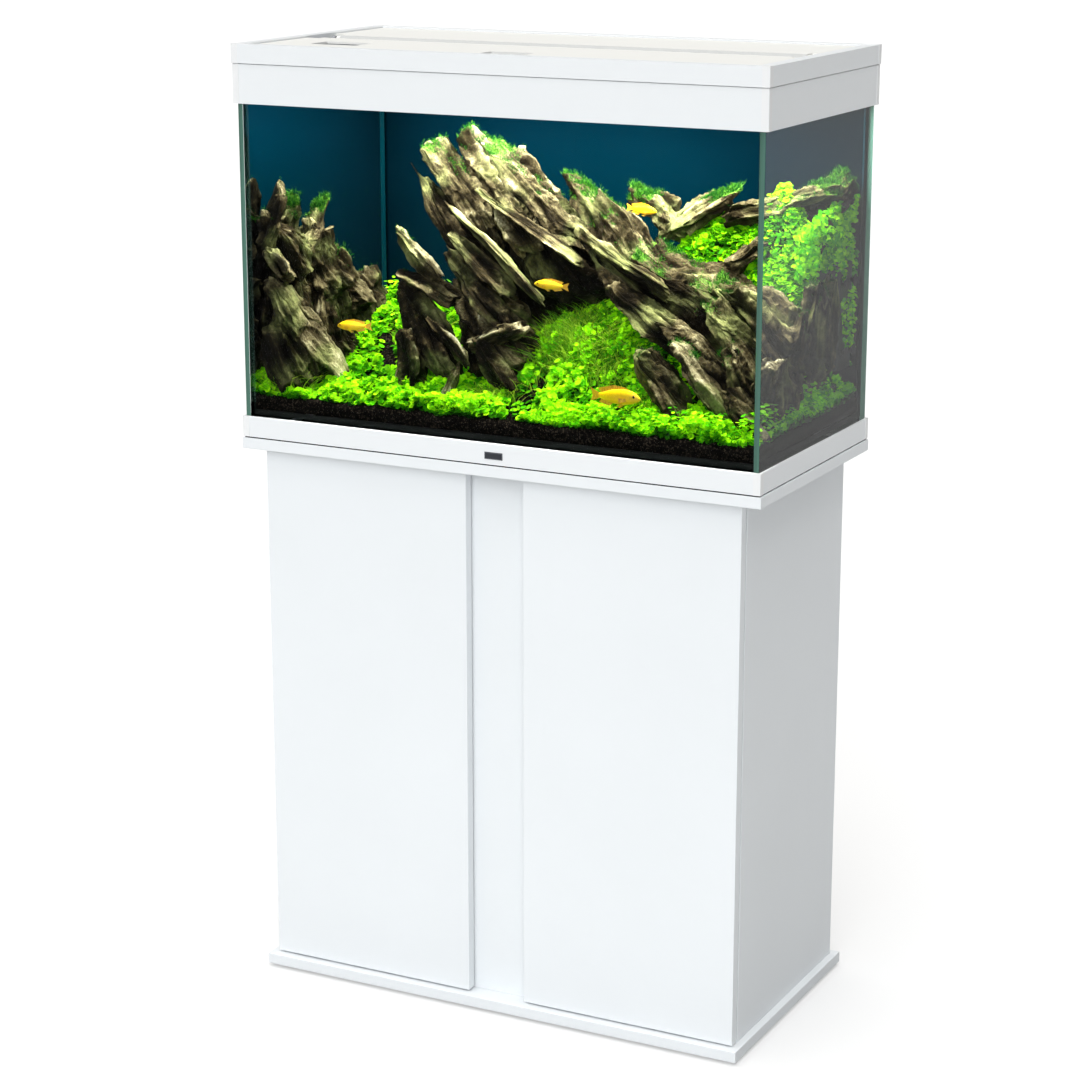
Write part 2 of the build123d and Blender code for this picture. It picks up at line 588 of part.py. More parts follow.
def build_front_flap():
    """The front flap with its feeding opening, and under it the shutter's guides and a finger cup."""
    front_y = -OPEN_Y + 1
    flap = flap_shell(front_y, FRONT_FLAP_REAR, FRONT_NOTCH_Y)
    rib_y = (front_y + FLAP_RIB, FRONT_FLAP_REAR - FLAP_RIB)
    for x in (-140, 100, 240):
        flap += block((x - 1, x + 1), rib_y, (RIB_BOTTOM, SKIN_BOTTOM))

    skin_z = (SKIN_BOTTOM - 1, FLAP_TOP + 1)
    opening = block(FEED_X, FEED_Y, skin_z)
    flap -= fillet(opening.edges().filter_by(Axis.Z), 4)

    shutter_x = (FEED_X[0] - 8, FEED_X[1] + 10)
    shutter_y = (FEED_Y[0] - 7, FEED_Y[1] + 7)
    shutter_z = (SKIN_BOTTOM - 3.8, SKIN_BOTTOM - 0.8)
    guide_x = (shutter_x[0] - 2, shutter_x[1] + FEED_TRAVEL + 3)
    guide_z, lip_z = (shutter_z[0] - 2.8, SKIN_BOTTOM), (shutter_z[0] - 2.8, shutter_z[0] - 0.3)
    guides = []
    for edge, outward in ((shutter_y[0], -1), (shutter_y[1], 1)):
        upright = block(guide_x, span(edge + outward * 0.3, edge + outward * 2.3), guide_z)
        lip = block(guide_x, span(edge - outward * 2, edge + outward * 0.3), lip_z)
        guides.append(upright + lip)
    save("feed_guides", *guides)

    wall = 3.0
    pocket_z = (SKIN_BOTTOM - 7, SKIN_BOTTOM)
    cup = block(
        (PULL_X[0] - wall, PULL_X[1] + wall), (PULL_Y[0] - wall, PULL_Y[1] + wall), pocket_z
    )
    hollow = block(PULL_X, PULL_Y, (pocket_z[0] + 2, FLAP_TOP + 1))
    hollow = fillet(hollow.edges().filter_by(Axis.Z), 4)
    save("finger_cup", cup - hollow)
    flap -= hollow
    save("front_flap", add_tongues(flap, FRONT_AXIS_Y, FRONT_NOTCH_Y - 6))

    shutter = block(shutter_x, shutter_y, shutter_z)
    shutter = fillet(shutter.edges().filter_by(Axis.Z), 3)
    for groove in range(3):
        x = FEED_X[0] + 8 + groove * 6
        groove_y = (FEED_Y[0] + 8, FEED_Y[1] - 8)
        shutter -= block((x, x + 3), groove_y, (shutter_z[1] - 1, shutter_z[1] + 1))
    save("feed_shutter", shutter)


def build_rear_flap():
    back_y = OPEN_Y - 1
    flap = flap_shell(back_y, REAR_FLAP_FRONT, REAR_NOTCH_Y)
    rib_y = (REAR_FLAP_FRONT + FLAP_RIB, back_y - FLAP_RIB)
    for x in (-240, 0, 240):
        flap += block((x - 1, x + 1), rib_y, (RIB_BOTTOM, SKIN_BOTTOM))
    save("rear_flap", add_tongues(flap, REAR_AXIS_Y, REAR_NOTCH_Y + 6))


# ---------------------------------------------------------------- equipment in the tank
FILTER_X, FILTER_Y, FILTER_Z = (324.0, 384.0), (118.0, 178.0), (930.0, 1080.0)
HEATER_X, HEATER_Y, HEATER_RADIUS = 60.0, 170.0, 11.0
HEATER_Z = (928.0, 1048.0)


def suction_cup(x, y, z, direction):
    """A cup whose rim lies on a pane; direction is the unit step from the rim to its stem."""
    cone = Cone(9, 3, 5, align=(Align.CENTER, Align.CENTER, Align.MIN))
    turn = Rot(0, -90, 0) if direction == "left" else Rot(90, 0, 0)
    return Pos(x, y, z) * turn * cone


def build_equipment():
    body = fillet(block(FILTER_X, FILTER_Y, FILTER_Z).edges().filter_by(Axis.Z), 10)
    for row in range(9):
        z = FILTER_Z[0] + 14 + row * 12
        slot_x, slot_y = (FILTER_X[0] + 12, FILTER_X[1] - 12), (FILTER_Y[0] + 12, FILTER_Y[1] - 12)
        body -= block(slot_x, (FILTER_Y[0] - 1, FILTER_Y[0] + 2), (z, z + 5))
        body -= block((FILTER_X[0] - 1, FILTER_X[0] + 2), slot_y, (z, z + 5))
    save("filter_body", body)
    head_z = (FILTER_Z[1], FILTER_Z[1] + 40)
    head = block((FILTER_X[0] + 4, FILTER_X[1] - 4), (FILTER_Y[0] + 4, FILTER_Y[1] - 4), head_z)
    head = fillet(head.edges().filter_by(Axis.Z), 12)
    head = fillet(head.edges().group_by(Axis.Z)[-1], 5)
    nozzle_z = head_z[0] + 22
    head += rod_x((FILTER_X[0] - 16, FILTER_X[0] + 8), (FILTER_Y[0] + FILTER_Y[1]) / 2, nozzle_z, 8)
    head -= rod_x((FILTER_X[0] - 17, FILTER_X[0] - 2), (FILTER_Y[0] + FILTER_Y[1]) / 2, nozzle_z, 6)
    save("filter_head", head)

    tube = rod_z(HEATER_X, HEATER_Y, HEATER_Z, HEATER_RADIUS)
    save("heater_tube", fillet(tube.edges().group_by(Axis.Z)[0], 8))
    cap = rod_z(HEATER_X, HEATER_Y, (HEATER_Z[1], HEATER_Z[1] + 24), HEATER_RADIUS + 1.5)
    save("heater_head", fillet(cap.edges().group_by(Axis.Z)[-1], 4))

    cups = []
    for y in (FILTER_Y[0] + 15, FILTER_Y[1] - 15):
        for z in (FILTER_Z[0] + 25, FILTER_Z[1] - 25):
            stem = rod_x((FILTER_X[1], IN_X - 3), y, z, 3)
            cups.append(suction_cup(IN_X, y, z, "left") + stem)
    for z in (HEATER_Z[0] + 25, HEATER_Z[1] - 25):
        stem = rod_y(HEATER_X, (HEATER_Y + HEATER_RADIUS - 0.4, IN_Y - 3), z, 3)
        gripped = rod_z(HEATER_X, HEATER_Y, (z - 10, z + 10), HEATER_RADIUS)
        cups.append(suction_cup(HEATER_X, IN_Y, z, "front") + (stem - gripped))
    save("suction_cups", *cups)


# ---------------------------------------------------------------- planted scape
GROUND_FRONT, GROUND_BACK = 879.0, 916.0
CARPET = 12.0
ROCK_FOOT = 868.0


def ground_level(y):
    """Height of the bare ground, which rises from the front pane to the back."""
    return GROUND_FRONT + (GROUND_BACK - GROUND_FRONT) * (y + IN_Y) / (2 * IN_Y)


def ground_prism(low, lift, inset):
    """A layer across the tank, from low or else the bare ground up to the ground plus lift."""
    edge_y, edge_x = IN_Y - inset, IN_X - inset
    outline = [
        (-edge_y, low or ground_level(-edge_y)),
        (-edge_y, ground_level(-edge_y) + lift),
        (edge_y, ground_level(edge_y) + lift),
        (edge_y, low or ground_level(edge_y)),
    ]
    layer = prism_x(outline, (-edge_x, edge_x))
    return chamfer(layer.edges().filter_by(Axis.Z), 6)


def build_scape():
    main = prism_y(
        [
            (-215, ROCK_FOOT),
            (-228, 1110),
            (-208, 1238),
            (-150, 1266),
            (-62, 1260),
            (60, 1130),
            (190, 1020),
            (300, 905),
            (306, ROCK_FOOT),
        ],
        (-40, 80),
    )
    left = prism_y(
        [(-386, ROCK_FOOT), (-386, 1140), (-360, 1150), (-312, 1090), (-286, 960), (-280, ROCK_FOOT)],
        (-40, 150),
    )
    right = prism_y(
        [(110, ROCK_FOOT), (112, 1080), (190, 1165), (284, 1180), (298, 1150), (298, ROCK_FOOT)],
        (95, 150),
    )
    rocks = {"rock_main": main, "rock_left": left, "rock_right": right}
    for name, rock in rocks.items():
        save(name, rock)

    substrate = ground_prism(FLOOR_PANE_TOP, 0, 0.6)
    carpet = ground_prism(0, CARPET, 4.5)
    for rock in rocks.values():
        substrate -= rock
        carpet -= rock
    save("substrate", substrate)
    bush = fillet(block((322, 386), (-50, 84), (GROUND_BACK + 4, 1100)).edges(), 14)
    save("plants", *carpet.solids(), bush - ground_prism(0, CARPET + 0.2, 4.5))


def fish(x, y, z, length, heading):
    """A deep-bodied fish with a tail fin; heading is +1 when it swims toward +X."""
    steps = 12
    body_length, depth, thickness = 0.8 * length, 0.3 * length, 0.15 * length
    upper = [
        (
            heading * body_length / 2 * cos(radians(180 * i / steps)) + heading * 0.1 * length,
            depth / 2 * sin(radians(180 * i / steps)),
        )
        for i in range(steps + 1)
    ]
    lower = [(px, -pz) for px, pz in reversed(upper[1:-1])]
    trunk = prism_y(upper + lower, (-thickness / 2, thickness / 2))
    root, tip = -heading * 0.24 * length, -heading * 0.5 * length
    fin = [(root, 0.05), (tip, 0.13), (tip, -0.13), (root, -0.05)]
    tail = prism_y([(px, pz * length) for px, pz in fin], (-thickness / 6, thickness / 6))
    return Pos(x, y, z) * (trunk + tail)


FISH = (
    (-293, -62, 968, 54, -1),
    (27, -62, 1053, 46, -1),
    (158, -130, 918, 80, 1),
    (141, -20, 1161, 48, 1),
)

os.makedirs("parts", exist_ok=True)
build_base()
build_carcass()
build_door(-1, "left")
build_door(1, "right")
build_door_pins()
build_door_stops()
build_panes()
build_seams()
build_trim()
build_hood_frame()
build_lights()
build_lid_ring()
build_bridge()
build_front_flap()
build_rear_flap()
build_equipment()
build_scape()
save("fish", *[fish(*place) for place in FISH])
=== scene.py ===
"""Looks of a planted aquarium on its cabinet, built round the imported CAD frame. Metres, Z up."""

import json
import math

import bpy
import numpy as np
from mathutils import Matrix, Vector

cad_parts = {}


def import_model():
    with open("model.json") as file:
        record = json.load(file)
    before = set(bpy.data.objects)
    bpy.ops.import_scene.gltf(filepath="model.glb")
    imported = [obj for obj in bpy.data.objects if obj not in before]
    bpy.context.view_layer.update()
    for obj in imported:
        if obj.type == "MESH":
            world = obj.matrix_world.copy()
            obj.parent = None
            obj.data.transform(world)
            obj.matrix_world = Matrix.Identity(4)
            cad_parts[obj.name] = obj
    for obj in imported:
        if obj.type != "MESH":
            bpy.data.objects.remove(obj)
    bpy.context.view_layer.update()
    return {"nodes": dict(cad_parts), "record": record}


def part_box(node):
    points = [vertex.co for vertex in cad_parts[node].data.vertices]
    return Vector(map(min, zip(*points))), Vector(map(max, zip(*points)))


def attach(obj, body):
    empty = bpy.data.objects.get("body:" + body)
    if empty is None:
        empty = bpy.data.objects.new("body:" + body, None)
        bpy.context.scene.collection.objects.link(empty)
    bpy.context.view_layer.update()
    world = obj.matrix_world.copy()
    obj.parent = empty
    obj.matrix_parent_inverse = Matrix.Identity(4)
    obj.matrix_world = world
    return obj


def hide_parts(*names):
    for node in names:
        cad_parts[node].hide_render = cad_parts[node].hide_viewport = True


ROOT = "stand_and_tank"

# The clear inside of the tank, and the two light bars' places.
INSIDE_X, INSIDE_Y = 0.391, 0.187
TANK_FLOOR = 0.860
LIGHT_ROWS_Y = (-0.095, 0.075)
LIGHT_Z = 1.301


# ---------------------------------------------------------------- noise
def lattice(ix, iy, iz, seed):
    """A repeatable number from 0 to 1 for each whole-numbered lattice point."""
    mixed = ix * 374761393 + iy * 668265263 + iz * 1440662683 + seed * 974634777
    mixed = mixed & 0xFFFFFFFF
    mixed = ((mixed ^ (mixed >> 13)) * 1274126177) & 0xFFFFFFFF
    mixed = mixed ^ (mixed >> 16)
    return (mixed & 0xFFFF) / 65535.0


def noise(points, seed):
    """Smooth noise from -1 to 1 at points of shape (n, 3), with features one unit across."""
    cell = np.floor(points).astype(np.int64)
    part = points - cell
    part = part * part * (3 - 2 * part)
    total = np.zeros(len(points))
    for corner in range(8):
        step = np.array([corner & 1, corner >> 1 & 1, corner >> 2 & 1])
        weight = np.where(step, part, 1 - part).prod(axis=1)
        at = cell + step
        total += weight * lattice(at[:, 0], at[:, 1], at[:, 2], seed)
    return total * 2 - 1


def fractal(points, seed, octaves=4, sharp=False):
    """Noise on noise, each layer half as large; sharp gives crests near 1 over rounded valleys."""
    total, size, scale = 0, 0, 1.0
    for octave in range(octaves):
        layer = noise(points * scale, seed + octave * 17)
        if sharp:
            layer = (1 - np.abs(layer)) ** 2
        total = total + layer / scale
        size += 1 / scale
        scale *= 2
    return total / size


def smooth_step(low, high, values):
    t = np.clip((values - low) / (high - low), 0, 1)
    return t * t * (3 - 2 * t)


def unit(vectors):
    length = np.linalg.norm(vectors, axis=-1, keepdims=True)
    return vectors / np.maximum(length, 1e-12)


# ---------------------------------------------------------------- meshes
def xyz(x, y, z):
    """Points from three coordinates, each an array or one number for all."""
    return np.stack(np.broadcast_arrays(x, y, z), axis=-1)


def keep_inside(points, gap=0.0):
    """Moves points that lie past the panes back to them, in place."""
    limit = np.array([INSIDE_X - gap, INSIDE_Y - gap])
    points[..., :2] = np.clip(points[..., :2], -limit, limit)


def row_quads(rows, columns, closed=False, flipped=False):
    """Quads between neighbouring rows of points; closed joins each row's end to its start."""
    number = np.arange(rows * columns).reshape(rows, columns)
    if closed:
        number = np.hstack([number, number[:, :1]])
    corners = [number[:-1, :-1], number[:-1, 1:], number[1:, 1:], number[1:, :-1]]
    quads = np.stack(corners, axis=-1).reshape(-1, 4)
    return quads[:, ::-1] if flipped else quads


def put_in_scene(name, data):
    thing = bpy.data.objects.new(name, data)
    bpy.context.scene.collection.objects.link(thing)
    return thing


def copies_of(shape, count, step):
    """The same small set of polygons for each of count groups of step points."""
    repeated = np.array(shape)[None] + np.arange(count)[:, None, None] * step
    return repeated.reshape(-1, len(shape[0]))


def make_piece(name, points, polygons, material, fields=None, smooth=True):
    """A mesh piece from point and polygon arrays, with per-point number fields, riding on the tank."""
    mesh = bpy.data.meshes.new(name)
    points = np.asarray(points, np.float32)
    polygons = np.asarray(polygons, np.int32)
    mesh.vertices.add(len(points))
    mesh.vertices.foreach_set("co", points.ravel())
    mesh.loops.add(polygons.size)
    mesh.loops.foreach_set("vertex_index", polygons.ravel())
    mesh.polygons.add(len(polygons))
    mesh.polygons.foreach_set("loop_start", np.arange(0, polygons.size, polygons.shape[1]))
    mesh.update(calc_edges=True)
    mesh.validate()
    mesh.polygons.foreach_set("use_smooth", np.full(len(mesh.polygons), smooth))
    for field, values in (fields or {}).items():
        values = np.asarray(values, np.float32)
        kind = "FLOAT_VECTOR" if values.ndim == 2 else "FLOAT"
        layer = mesh.attributes.new(field, kind, "POINT")
        layer.data.foreach_set("vector" if values.ndim == 2 else "value", values.ravel())
    mesh.materials.append(material)
    piece = put_in_scene(name, mesh)
    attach(piece, ROOT)
    return piece


def joined(parts):
    """Several (points, polygons, fields) parts as one, with the polygons renumbered."""
    points, polygons, fields, start = [], [], {}, 0
    for part_points, part_polygons, part_fields in parts:
        points.append(part_points)
        polygons.append(part_polygons + start)
        start += len(part_points)
        for field, values in part_fields.items():
            fields.setdefault(field, []).append(values)
    merged = {field: np.concatenate(values) for field, values in fields.items()}
    return np.concatenate(points), np.concatenate(polygons), merged


def point_normals(points, quads):
    a, b, c, d = (points[quads[:, i]] for i in range(4))
    across = np.cross(c - a, d - b)
    total = np.zeros_like(points)
    for corner in range(4):
        np.add.at(total, quads[:, corner], across)
    return unit(total)


def box_lattice(divisions):
    """A box surface from -1 to 1 as shared lattice points and outward quads."""
    quads, found = [], {}

    def index_of(key):
        return found.setdefault(key, len(found))

    for axis in range(3):
        u, v = (axis + 1) % 3, (axis + 2) % 3
        for end in (0, divisions[axis]):
            for i in range(divisions[u]):
                for j in range(divisions[v]):
                    ring = [(i, j), (i + 1, j), (i + 1, j + 1), (i, j + 1)]
                    if end == 0:
                        ring.reverse()
                    quad = []
                    for at_u, at_v in ring:
                        key = [0, 0, 0]
                        key[axis], key[u], key[v] = end, at_u, at_v
                        quad.append(index_of(tuple(key)))
                    quads.append(quad)
    points = np.array(list(found), float) / np.array(divisions) * 2 - 1
    return points, np.array(quads)


# ---------------------------------------------------------------- rocks
STONE_GRID = 0.0032
CORE_GRID = 0.006


def rock_axes(along, roll):
    """The slab's own axes across its length: one along the tank's depth, one through its layers."""
    side = unit(np.array([0, 1, 0]) - along * along[1])
    face = np.cross(along, side)
    turn = math.radians(roll)
    turned_side = side * math.cos(turn) + face * math.sin(turn)
    turned_face = face * math.cos(turn) - side * math.sin(turn)
    return turned_side, turned_face


def broken_block(cube, size, taper, seed):
    """A block with its corners and edges broken off by flat cuts, narrower towards the tip."""
    chance = np.random.default_rng(seed)
    reach = np.linalg.norm(cube, axis=1, keepdims=True)
    block = cube * (0.82 + 0.18 / reach)
    cuts = unit(chance.normal(0, 1, (14, 3)) * [1.0, 1.0, 0.7])
    for cut, depth in zip(cuts, chance.uniform(0.78, 1.1, 14)):
        beyond = np.maximum(block @ cut - depth, 0)
        block = block - beyond[:, None] * cut
    toward_tip = np.clip((block[:, 0] + 1) / 2, 0, 1)
    narrow = 1 - taper * toward_tip**1.5
    local = block * size / 2
    local[:, 1] *= narrow
    local[:, 2] *= narrow**0.8
    return block, local, toward_tip


def stone(row, seed, grid):
    """A layered slab of rock from foot to tip: layers lie across its thickness, grain along it."""
    tip, foot = np.array(row[:3]) / 1000, np.array(row[3:6]) / 1000
    width, thickness, taper, pale, moss, roll = row[6:]
    length = float(np.linalg.norm(tip - foot))
    along = (tip - foot) / length
    side, face = rock_axes(along, roll)
    size = np.array([length, width / 1000, thickness / 1000])
    cube, quads = box_lattice([int(np.clip(s / grid, 12, 90)) for s in size])
    block, local, toward_tip = broken_block(cube, size, taper, seed)
    outward = unit(block / size)

    wander = local * [3.0 / length, 0, 0]
    local[:, 1] += size[1] * 0.10 * noise(wander, seed + 1)
    local[:, 2] += size[2] * 0.14 * noise(wander, seed + 2)

    layer_height = np.clip(size[2] / 6, 0.004, 0.010)
    layer_wave = fractal(local * [14, 22, 0], seed + 3, 2) * 1.2
    layer = np.floor(local[:, 2] / layer_height + layer_wave + 50).astype(np.int64)
    flat = layer * 0
    reach = lattice(layer, flat + seed, flat, seed + 4) - 0.5
    spread = lattice(layer, flat, flat + seed, seed + 5) - 0.5
    local[:, 0] *= 1 + 0.22 * reach * np.abs(block[:, 0]) ** 3
    local[:, 1] *= 1 + 0.38 * spread * np.abs(block[:, 1]) ** 3

    # whole layers are broken away from the two broad faces, which leaves long ledges
    which_face = np.sign(block[:, 2])
    spot = local * [8, 36, 0] + np.outer(which_face, [0, 0, 3]) + seed
    ledge = np.floor(np.clip(fractal(spot, seed + 12, 3) * 3.4 + 1.6, 0, 3.99))
    broad = smooth_step(0.4, 0.9, np.abs(block[:, 2]))
    ledge_height = min(size[2] * 0.085, 0.0055)
    local[:, 2] -= which_face * broad * ledge * ledge_height

    grain = local * [13, 70, 105] + seed
    crest = fractal(grain * [0.7, 0.75, 0.7], seed + 6, sharp=True)
    chips = fractal(local * [40, 60, 60] + seed, seed + 8, sharp=True)
    lumps = fractal(local * 20 + seed, seed + 7)
    notch = smooth_step(0.1, 0.55, fractal(local * [9, 30, 40] + seed, seed + 11, 3))
    depth = min(size[2] * 0.10, 0.0052)
    offset = depth * (1.0 * lumps + 2.2 * (crest - 0.6) + 1.5 * (chips - 0.6) - 1.6 * notch)
    local += outward * offset[:, None]

    world = (tip + foot) / 2 + local[:, :1] * along + local[:, 1:2] * side + local[:, 2:] * face
    normals = point_normals(world, quads)
    patches = fractal(world * 30, seed + 9, 3)
    upward = smooth_step(0.35, 0.9, normals[:, 2] + patches * 0.5)
    near_tip = smooth_step(0.6, 1.1, toward_tip + (moss - 0.5) * 0.5 + patches * 0.35)
    # Painted light: faces turned up are made paler and faces turned down darker, as the bars above would
    # light them.
    painted_top_light = smooth_step(-0.35, 0.85, normals[:, 2]) - 0.45
    fields = {
        "grain": grain,
        # The ridge field is darker in the notches and on the sunk ledges: painted shade in the rock's
        # creases.
        "ridge": crest * 0.6 + chips * 0.5 + lumps * 0.2 - notch * 0.6 - broad * (ledge - 1) * 0.14,
        "pale": pale * 0.45 + painted_top_light * 0.6 + patches * 0.4 - 0.12,
        "moss": upward * near_tip * min(moss * 1.5, 1),
    }
    keep_inside(world)
    return world, quads, fields, normals


# Each stone: tip x, y, z, foot x, y, z, width across the tank's depth, thickness (all in mm), how
# much it narrows to the tip, how much paler it is, how mossy, and its roll in degrees.
MAIN_STONES = [
    # the heap's dark core, mostly hidden and so made with a coarser grid
    (-122, 62, 1180, 40, 62, 900, 90, 150, 0.35, -0.5, 0, 0),
    (10, 66, 1110, 330, 60, 930, 90, 130, 0.2, -0.5, 0, 0),
    (-150, 0, 1050, -20, 0, 880, 130, 110, 0.2, -0.5, 0, 0),
    (-60, 10, 1110, 60, 6, 1000, 90, 110, 0.2, -0.8, 0, 0),
    # the tall peak, leaning left, with a broad broken crown; its high pale values are partly its cream
    # tone and partly a painted highlight where the light falls
    (-196, 4, 1228, -62, 4, 1066, 92, 50, 0.15, 0.6, 0.35, 0),
    (-168, 22, 1240, -20, 22, 1090, 100, 56, 0.1, 0.7, 0.4, -8),
    (-118, 34, 1232, 40, 28, 1096, 92, 60, 0.15, 0.55, 0.45, 6),
    (-60, 36, 1196, 62, 30, 1088, 84, 48, 0.25, 0.35, 0.5, 0),
    (-210, -36, 1204, -136, -40, 1082, 34, 20, 0.6, 0, 0, 12),
    (-196, -24, 1184, -86, -30, 1046, 70, 42, 0.3, -0.45, 0, 0),
    (-106, -32, 1176, 60, -34, 1084, 50, 20, 0.3, 0.55, 0, 14),
    (-140, -58, 1156, 12, -62, 1028, 44, 20, 0.5, 0.25, 0, 22),
    (-130, -66, 1116, -34, -70, 1036, 44, 20, 0.5, 0.3, 0, -20),
    (-150, -52, 1092, 6, -58, 950, 84, 46, 0.2, -0.1, 0, 8),
    (-225, -60, 1116, -156, -58, 1044, 56, 32, 0.35, 0.75, 0.25, 24),
    (-216, -58, 1060, -118, -60, 1012, 64, 26, 0.25, 0.15, 0.2, 0),
    (-220, -56, 1038, -132, -58, 906, 80, 52, 0.2, -0.25, 0, 0),
    (-120, -64, 1030, -14, -70, 930, 74, 34, 0.3, 0.1, 0, -10),
    # the shoulder that runs down to the right pane
    (-6, 30, 1206, 96, 30, 1080, 62, 46, 0.45, 0.05, 0.75, 0),
    (36, 40, 1152, 212, 40, 1000, 92, 76, 0.3, 0.05, 0.5, 0),
    (46, -28, 1128, 196, -36, 1044, 60, 30, 0.3, 0.1, 0, 20),
    (70, -30, 1096, 222, -42, 966, 66, 34, 0.3, 0.1, 0, -6),
    (120, 20, 1096, 352, 0, 970, 120, 90, 0.15, 0, 0.4, -12),
    (232, 14, 1078, 386, -16, 950, 110, 84, 0.15, 0.12, 0.4, 0),
    (112, -60, 1062, 206, -60, 990, 58, 36, 0.2, -0.3, 0, 0),
    (160, -46, 1034, 330, -56, 918, 84, 50, 0.25, 0.15, 0, 10),
    (262, -50, 1052, 386, -56, 920, 80, 50, 0.2, 0.15, 0.3, 0),
    # the low rocks at the front right
    (176, -96, 984, 250, -98, 884, 70, 46, 0.3, 0.15, 0.3, 0),
    (232, -90, 996, 346, -94, 872, 84, 44, 0.25, 0.8, 0.45, 0),
    (292, -80, 1004, 388, -86, 884, 90, 58, 0.25, 0.2, 0.5, 0),
    (206, -116, 950, 262, -118, 880, 46, 30, 0.45, 0.1, 0, 0),
    (314, -128, 940, 382, -130, 872, 60, 40, 0.35, 0.05, 0, 0),
    # broken pieces round the foot
    (-147, -102, 1000, -86, -102, 928, 40, 24, 0.3, 1.4, 0, 18),
    (-2, -80, 1000, -86, -84, 958, 56, 34, 0.35, 1.1, 0, -10),
    (-84, -130, 948, -116, -132, 880, 30, 17, 0.4, 1.6, 0, 0),
    (-192, -84, 976, -176, -88, 884, 60, 50, 0.25, 0.1, 0, 0),
    (-70, -98, 976, -16, -100, 894, 66, 44, 0.3, -0.2, 0, 0),
]
LEFT_STONES = [
    (-366, -140, 1184, -374, -178, 1088, 48, 34, 0.35, 0.2, 0.35, 60),
    (-374, -170, 1140, -354, -118, 1050, 66, 52, 0.3, -0.3, 0.2, 0),
    (-380, -176, 1098, -342, -160, 1044, 60, 38, 0.2, 1.3, 0, 30),
    (-364, -28, 1148, -374, -108, 1056, 46, 28, 0.4, 0.45, 0.7, 70),
    (-362, -78, 1112, -350, -34, 990, 74, 58, 0.3, 0, 0, 0),
    (-354, -46, 1082, -344, -66, 950, 58, 34, 0.35, 0.35, 0, 0),
    (-368, -6, 1068, -348, 38, 958, 72, 52, 0.3, -0.1, 0.6, 0),
    (-354, 62, 1026, -332, 80, 930, 66, 50, 0.3, -0.1, 0.4, 0),
    (-374, -174, 1046, -330, -146, 968, 70, 44, 0.3, 0.5, 0, 20),
    (-350, -148, 1012, -284, -108, 900, 48, 28, 0.25, 1.4, 0, -20),
    (-374, -168, 1000, -330, -140, 890, 80, 72, 0.2, -0.3, 0, 0),
    (-368, -110, 1054, -344, -96, 890, 100, 84, 0.2, -0.2, 0, 0),
    (-366, -10, 1014, -346, 20, 890, 110, 80, 0.2, -0.2, 0, 0),
    (-262, 70, 990, -232, 72, 930, 40, 26, 0.45, 0.5, 0, 0),
]
RIGHT_STONES = [
    (60, 122, 1158, 156, 120, 1120, 66, 46, 0.25, 0.25, 0.8, 0),
    (236, 108, 1186, 116, 108, 1104, 84, 44, 0.2, 0.4, 0.6, 12),
    (388, 92, 1186, 222, 98, 1134, 74, 48, 0.2, 0.15, 0.7, -10),
    (390, 150, 1196, 330, 140, 1140, 80, 60, 0.2, -0.1, 0.6, 0),
    (306, 62, 1116, 238, 58, 1080, 60, 40, 0.2, 0.6, 0, 14),
    (388, 56, 1120, 350, 60, 1070, 50, 44, 0.25, 0.5, 0.3, 0),
    # against the right pane; their high pale values are painted light that lifts these stones out of the
    # shade they stand in
    (388, 30, 1072, 352, 40, 900, 96, 64, 0.2, 0.9, 0.4, 0),
    (389, 92, 1066, 364, 86, 890, 62, 50, 0.1, 0.8, 0.4, 0),
    (388, -30, 1036, 352, -26, 890, 84, 60, 0.2, 0.7, 0.4, 0),
    (388, -92, 984, 354, -84, 880, 74, 54, 0.2, 0.9, 0, 0),
]


def build_rocks(material):
    """The three rock groups; returns every mossy point with its normal, for the moss to grow on."""
    mossy = []
    groups = (
        ("rockwork_main", "rock_main", MAIN_STONES, 100, 4),
        ("rockwork_left", "rock_left", LEFT_STONES, 300, 0),
        ("rockwork_right", "rock_right", RIGHT_STONES, 500, 0),
    )
    for name, node, stones, first_seed, core_stones in groups:
        parts = []
        for number, row in enumerate(stones):
            grid = CORE_GRID if number < core_stones else STONE_GRID
            points, quads, fields, normals = stone(row, first_seed + number * 7, grid)
            parts.append((points, quads, fields))
            mossy.append((points, normals, fields["moss"]))
        points, quads, fields = joined(parts)
        piece = make_piece(name, points, quads, material, fields, smooth=False)
        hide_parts(node)
    return mossy


def build_moss(mossy, material):
    """Short threads of moss that stand out from the mossy parts of the rocks."""
    chance = np.random.default_rng(11)
    points, normals, cover = (np.concatenate(part) for part in zip(*mossy))
    count = 26000
    picked = chance.choice(len(points), count, p=cover / cover.sum())
    root = points[picked] + chance.normal(0, 0.0016, (count, 3))
    heading = unit(normals[picked] + chance.normal(0, 0.55, (count, 3)) + [0, 0, 0.5])
    length = chance.uniform(0.002, 0.0085, count) * (0.3 + cover[picked])
    across = unit(np.cross(heading, chance.normal(0, 1, (count, 3)))) * 0.00028
    middle = root + heading * length[:, None] * 0.55
    top = root + heading * length[:, None] + chance.normal(0, 0.0012, (count, 3))
    inside = (np.abs(top[:, 0]) < INSIDE_X) & (np.abs(top[:, 1]) < INSIDE_Y)
    strands = np.stack([root - across, root + across, middle + across * 0.8, top], axis=1)[inside]
    quads = np.arange(len(strands) * 4).reshape(-1, 4)
    tone = {"tone": np.repeat(chance.uniform(0, 1, len(strands)), 4)}
    make_piece("moss", strands.reshape(-1, 3), quads, material, tone, smooth=False)


# ---------------------------------------------------------------- ground and plants
# Each mound of the ground: centre x, y, half-widths x, y, height, all in metres.
MOUNDS = [
    (0.075, 0.005, 0.115, 0.085, 0.100),
    (-0.300, 0.100, 0.110, 0.090, 0.062),
    (0.205, 0.120, 0.105, 0.055, 0.205),
    (0.325, 0.080, 0.070, 0.052, 0.215),
]


